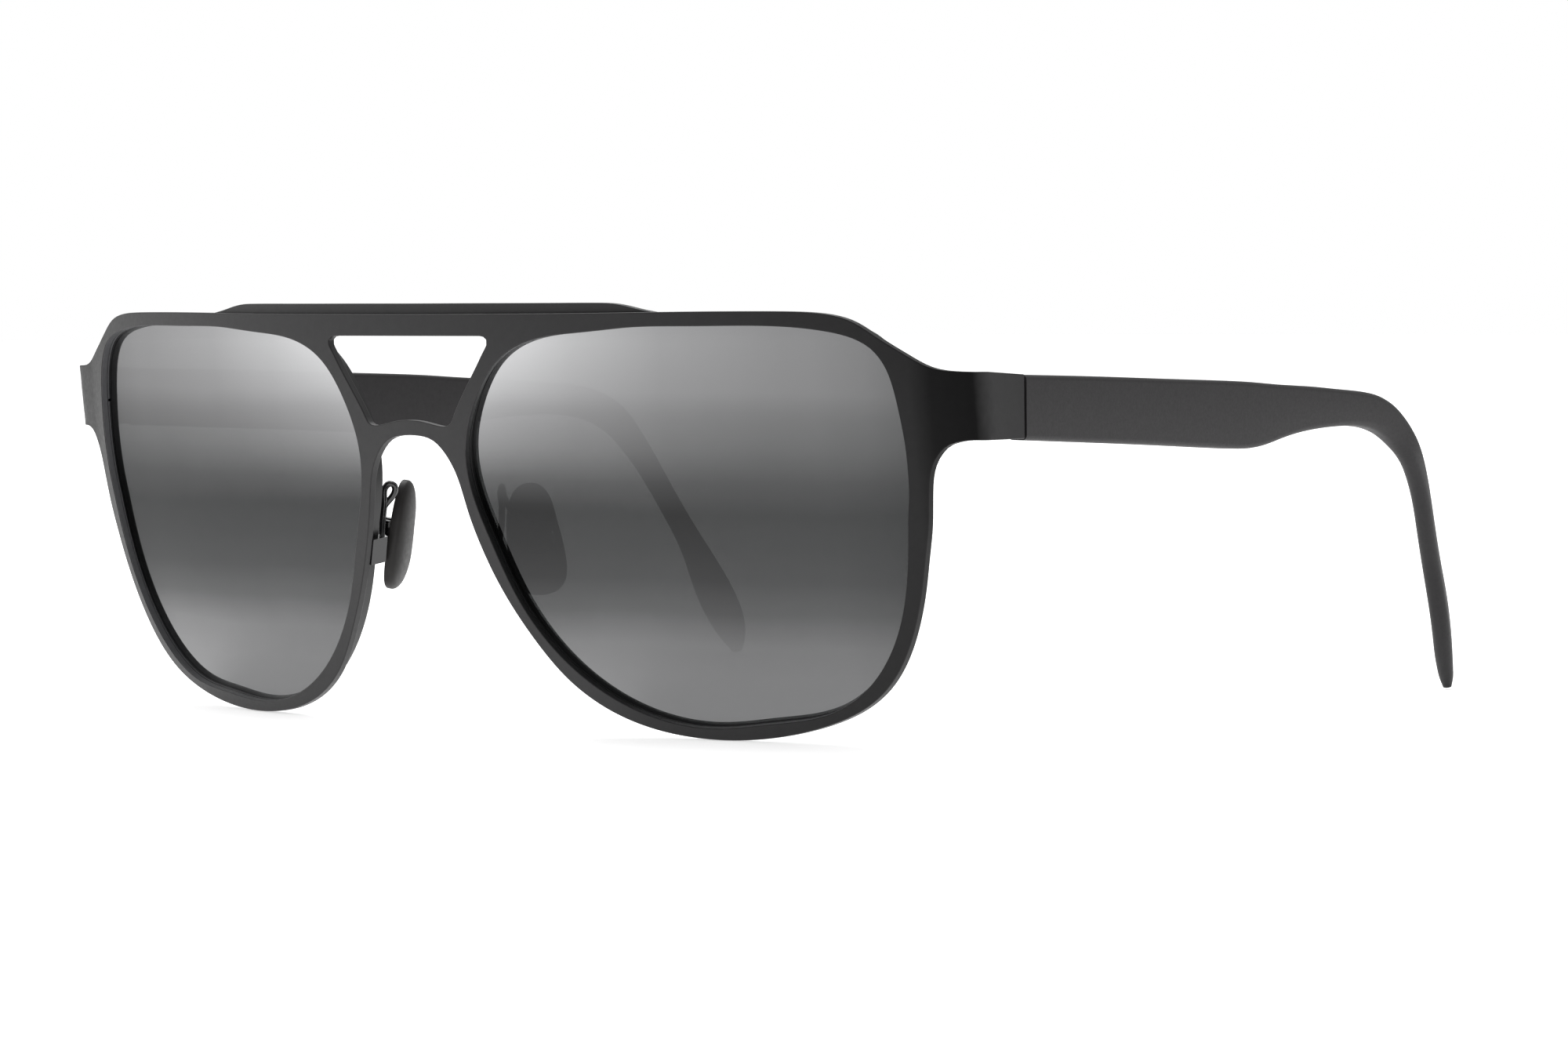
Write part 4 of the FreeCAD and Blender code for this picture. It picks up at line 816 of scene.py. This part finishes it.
st = np.array([[t[0], t[1] - YC, t[2], t[3], t[4], t[5], 0.6 if i < 8 else 0.6 + 0.12 * (i - 7)] for i, t in enumerate(TEMPLE)])
su = np.concatenate([[0], np.cumsum(np.sqrt((np.diff(st[:, :3], axis=0) ** 2).sum(1)))])
uu = np.unique(np.concatenate([np.linspace(0, su[7], 60), np.linspace(su[7], su[-1], 130)]))
sv = natural(su, st, uu)
dv = natural(su, st, np.clip(uu + 0.05, 0, su[-1])) - natural(su, st, np.clip(uu - 0.05, 0, su[-1]))
NC = 5
arm_v, arm_f = [], []
for i, q in enumerate(sv):
    c = q[:3]
    tan = dv[i, :3] / np.linalg.norm(dv[i, :3])
    phi = math.radians(q[5])
    n0 = np.array([math.cos(phi), math.sin(phi), 0.0])
    nn = n0 - tan * (n0 @ tan)
    nn /= np.linalg.norm(nn)
    up = np.cross(nn, tan)
    ht, hu = q[4] / 2, q[3] / 2
    rc = min(q[6], 0.96 * ht, 0.96 * hu)
    ring = []
    for sx, sy, a0 in ((1, 1, 0), (-1, 1, 90), (-1, -1, 180), (1, -1, 270)):
        for k in range(NC + 1):
            a = math.radians(a0 + 90 * k / NC)
            ring.append(c + nn * (sx * (ht - rc) + rc * math.cos(a)) + up * (sy * (hu - rc) + rc * math.sin(a)))
    if i == 0:
        ring = [p + tan * ((c[1] - p[1]) / tan[1]) for p in ring]
    arm_v += ring
NR2 = 4 * (NC + 1)
for i in range(len(sv) - 1):
    for j in range(NR2):
        a, b2 = i * NR2 + j, i * NR2 + (j + 1) % NR2
        arm_f.append((a, b2, b2 + NR2, a + NR2))
arm_f.append(tuple(range(NR2))[::-1])
arm_f.append(tuple(range((len(sv) - 1) * NR2, len(sv) * NR2)))
arm_l = make("temple_arm_left_piece", np.array(arm_v), arm_f, [M_TEMPLE])
bevel(arm_l, 0.10, 2, 60, True)
apply_mods(arm_l)
pocket_v = []
for z in (34.2, 41.4):
    for k in range(40):
        a = 2 * math.pi * k / 40
        pocket_v.append((69.55 + 1.38 * math.cos(a), 23.15 - YC + 1.38 * math.sin(a), z))
pocket_f = [(k, (k + 1) % 40, 40 + (k + 1) % 40, 40 + k) for k in range(40)]
pocket_f += [tuple(range(40))[::-1], tuple(range(40, 80))]
pocket = make("barrel_pocket", np.array(pocket_v), pocket_f, [M_TEMPLE], False)
bo = arm_l.modifiers.new("pocket", "BOOLEAN")
bo.operation = "DIFFERENCE"
bo.solver = "EXACT"
bo.object = pocket
apply_mods(arm_l)
pm = pocket.data
bpy.data.objects.remove(pocket)
bpy.data.meshes.remove(pm)
arm_r = mirror_copy(arm_l, "temple_arm_right_piece")
for ob, side in ((arm_l, "left"), (arm_r, "right")):
    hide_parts("temple_arm_" + side)
    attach(ob, "temple_" + side + "_body")

# --------------------------------------------------------------- nose pads
PO = np.array([10.52, 9.75 - YC, 21.95])
PU = np.array([-0.1775, 0.0237, 0.9838])
PU /= np.linalg.norm(PU)
PS = np.array([-0.5, -0.8660, 0.0])
PS = PS - PU * (PS @ PU)
PS /= np.linalg.norm(PS)
PN = np.cross(PS, PU)
pl = np.array(PAD + PAD + PAD, float)
pu = np.concatenate([[0], np.cumsum(np.sqrt((np.diff(pl, axis=0) ** 2).sum(1)))])
k0, k1 = pu[len(PAD)], pu[2 * len(PAD)]
ring2 = natural(pu, pl, np.linspace(k0, k1, 73)[:-1])
pc2 = ring2.mean(0)
ring2 = pc2 + (ring2 - pc2) * 0.995
rise = [(1.0, -0.90), (1.0, -0.55), (1.0, -0.25), (0.988, -0.05), (0.962, 0.14), (0.925, 0.30), (0.87, 0.46), (0.79, 0.62),
        (0.68, 0.78), (0.54, 0.90), (0.38, 0.98), (0.20, 1.03)]
pad_v, pad_f = [], []
for k, d in rise:
    for a, c in pc2 + (ring2 - pc2) * k:
        pad_v.append(PO + PS * a + PU * c + PN * d)
NP = len(ring2)
for i in range(len(rise) - 1):
    for j in range(NP):
        a, b2 = i * NP + j, i * NP + (j + 1) % NP
        pad_f.append((a, b2, b2 + NP, a + NP))
pad_v.append(PO + PS * pc2[0] + PU * pc2[1] + PN * 1.045)
tip = len(pad_v) - 1
last = (len(rise) - 1) * NP
for j in range(NP):
    pad_f.append((last + j, last + (j + 1) % NP, tip))
pad_f.append(tuple(range(NP))[::-1])
pad_l = make("nose_pad_left_piece", np.array(pad_v), pad_f, [M_PAD])
bevel(pad_l, 0.16, 3, 60, True)
apply_mods(pad_l)
pad_r = mirror_copy(pad_l, "nose_pad_right_piece")
for ob, side in ((pad_l, "left"), (pad_r, "right")):
    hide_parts("nose_pad_" + side)
    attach(ob, "pad_" + side + "_body")

# ------------------------------------------------------------ CAD nodes kept
# the eyewires take the wall material with its painted light
keepers = {
    "eyewire": M_WALL, "rim_screw": M_SCREW, "rim_lock_upper": M_WIRE, "rim_lock_lower": M_WIRE,
    "front_hinge": M_HINGE, "hinge_screw": M_SCREW, "temple_core": M_STEEL, "temple_hinge": M_HINGE,
    "pad_insert": M_STEEL, "pad_screw": M_SCREW,
    "pad_arm": M_PADWIRE, "pad_lug": M_PADWIRE, "pad_box": M_PADWIRE,
}
for key, mat in keepers.items():
    for side in ("left", "right"):
        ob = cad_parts[key + "_" + side]
        ob.data.materials.clear()
        ob.data.materials.append(mat)

# ------------------------------------------------------------- floor, light
floor_mat, nt, b = principled("floor_pale")
fn = noise(nt, 3.0, 2.0)
fr_ = ramp(nt, fn.outputs["Fac"], [(0.0, grey(0.93)), (1.0, grey(0.96))])
nt.links.new(fr_.outputs["Color"], b.inputs["Base Color"])
b.inputs["Roughness"].default_value = 0.6
b.inputs["Specular IOR Level"].default_value = 0.2
b.inputs["Emission Color"].default_value = (1, 1, 1, 1)
b.inputs["Emission Strength"].default_value = 0.55
fl = make("floor", [(-3000, -3000, 0), (3000, -3000, 0), (3000, 3000, 0), (-3000, 3000, 0)], [(0, 1, 2, 3)], [floor_mat], False)
fl.location.z = -0.00005

world = bpy.data.worlds.new("studio")
bpy.context.scene.world = world
world.use_nodes = True
wn = world.node_tree
bg = wn.nodes["Background"]
tcw = wn.nodes.new("ShaderNodeTexCoord")
dot = wn.nodes.new("ShaderNodeVectorMath")
dot.operation = "DOT_PRODUCT"
dot.inputs[1].default_value = (0.174, -0.985, 0.0)
wn.links.new(tcw.outputs["Generated"], dot.inputs[0])
wr = ramp(wn, dot.outputs["Value"], [(0.0, grey(0.62)), (0.30, grey(0.71)), (0.62, grey(0.66)), (0.80, grey(0.42)), (0.95, grey(0.12))])
wr.color_ramp.interpolation = "EASE"
lp = wn.nodes.new("ShaderNodeLightPath")
wm = wn.nodes.new("ShaderNodeMix")
wm.data_type = "RGBA"
wn.links.new(lp.outputs["Is Camera Ray"], wm.inputs[0])
wn.links.new(wr.outputs["Color"], wm.inputs[6])
wm.inputs[7].default_value = (1, 1, 1, 1)
wn.links.new(wm.outputs[2], bg.inputs["Color"])
bg.inputs["Strength"].default_value = 1.0


def area(name, loc, target, size, power, color=(1, 1, 1), sy=None):
    L = bpy.data.lights.new(name, "AREA")
    L.energy = power
    L.size = size
    L.shape = "RECTANGLE"
    L.size_y = sy or size
    L.color = color
    o = bpy.data.objects.new(name, L)
    o.location = Vector(loc)
    d = Vector(target) - Vector(loc)
    o.rotation_euler = d.to_track_quat("-Z", "Y").to_euler()
    bpy.context.scene.collection.objects.link(o)
    return o


area("key", (-0.5, 0.3, 1.3), (0, 0, 0.02), 1.2, 14.0)
area("left", (-1.3, -0.35, 0.35), (0, 0, 0.02), 0.8, 1.3)

# ------------------------------------------------------------------ camera
az, el, roll = math.radians(41.00), math.radians(2.53), math.radians(-0.459)
back = Vector((math.sin(az) * math.cos(el), -math.cos(az) * math.cos(el), math.sin(el)))
r0 = Vector((math.cos(az), math.sin(az), 0))
up0 = back.cross(r0)
c_, s_ = math.cos(roll), math.sin(roll)
r2 = r0 * c_ + up0 * s_
u2 = r0 * -s_ + up0 * c_
cam = bpy.data.cameras.new("camera")
cam.lens = 131.836
cam.sensor_width = 36.0
cam.clip_start = 0.01
cam.clip_end = 20.0
co = bpy.data.objects.new("camera", cam)
co.matrix_world = Matrix(((r2.x, u2.x, back.x, 465.71 * S), (r2.y, u2.y, back.y, (-469.65 - YC) * S),
                          (r2.z, u2.z, back.z, 52.91 * S), (0, 0, 0, 1)))
bpy.context.scene.collection.objects.link(co)
bpy.context.scene.camera = co
bpy.context.scene.view_settings.view_transform = "Standard"
bpy.context.scene.view_settings.look = "None"
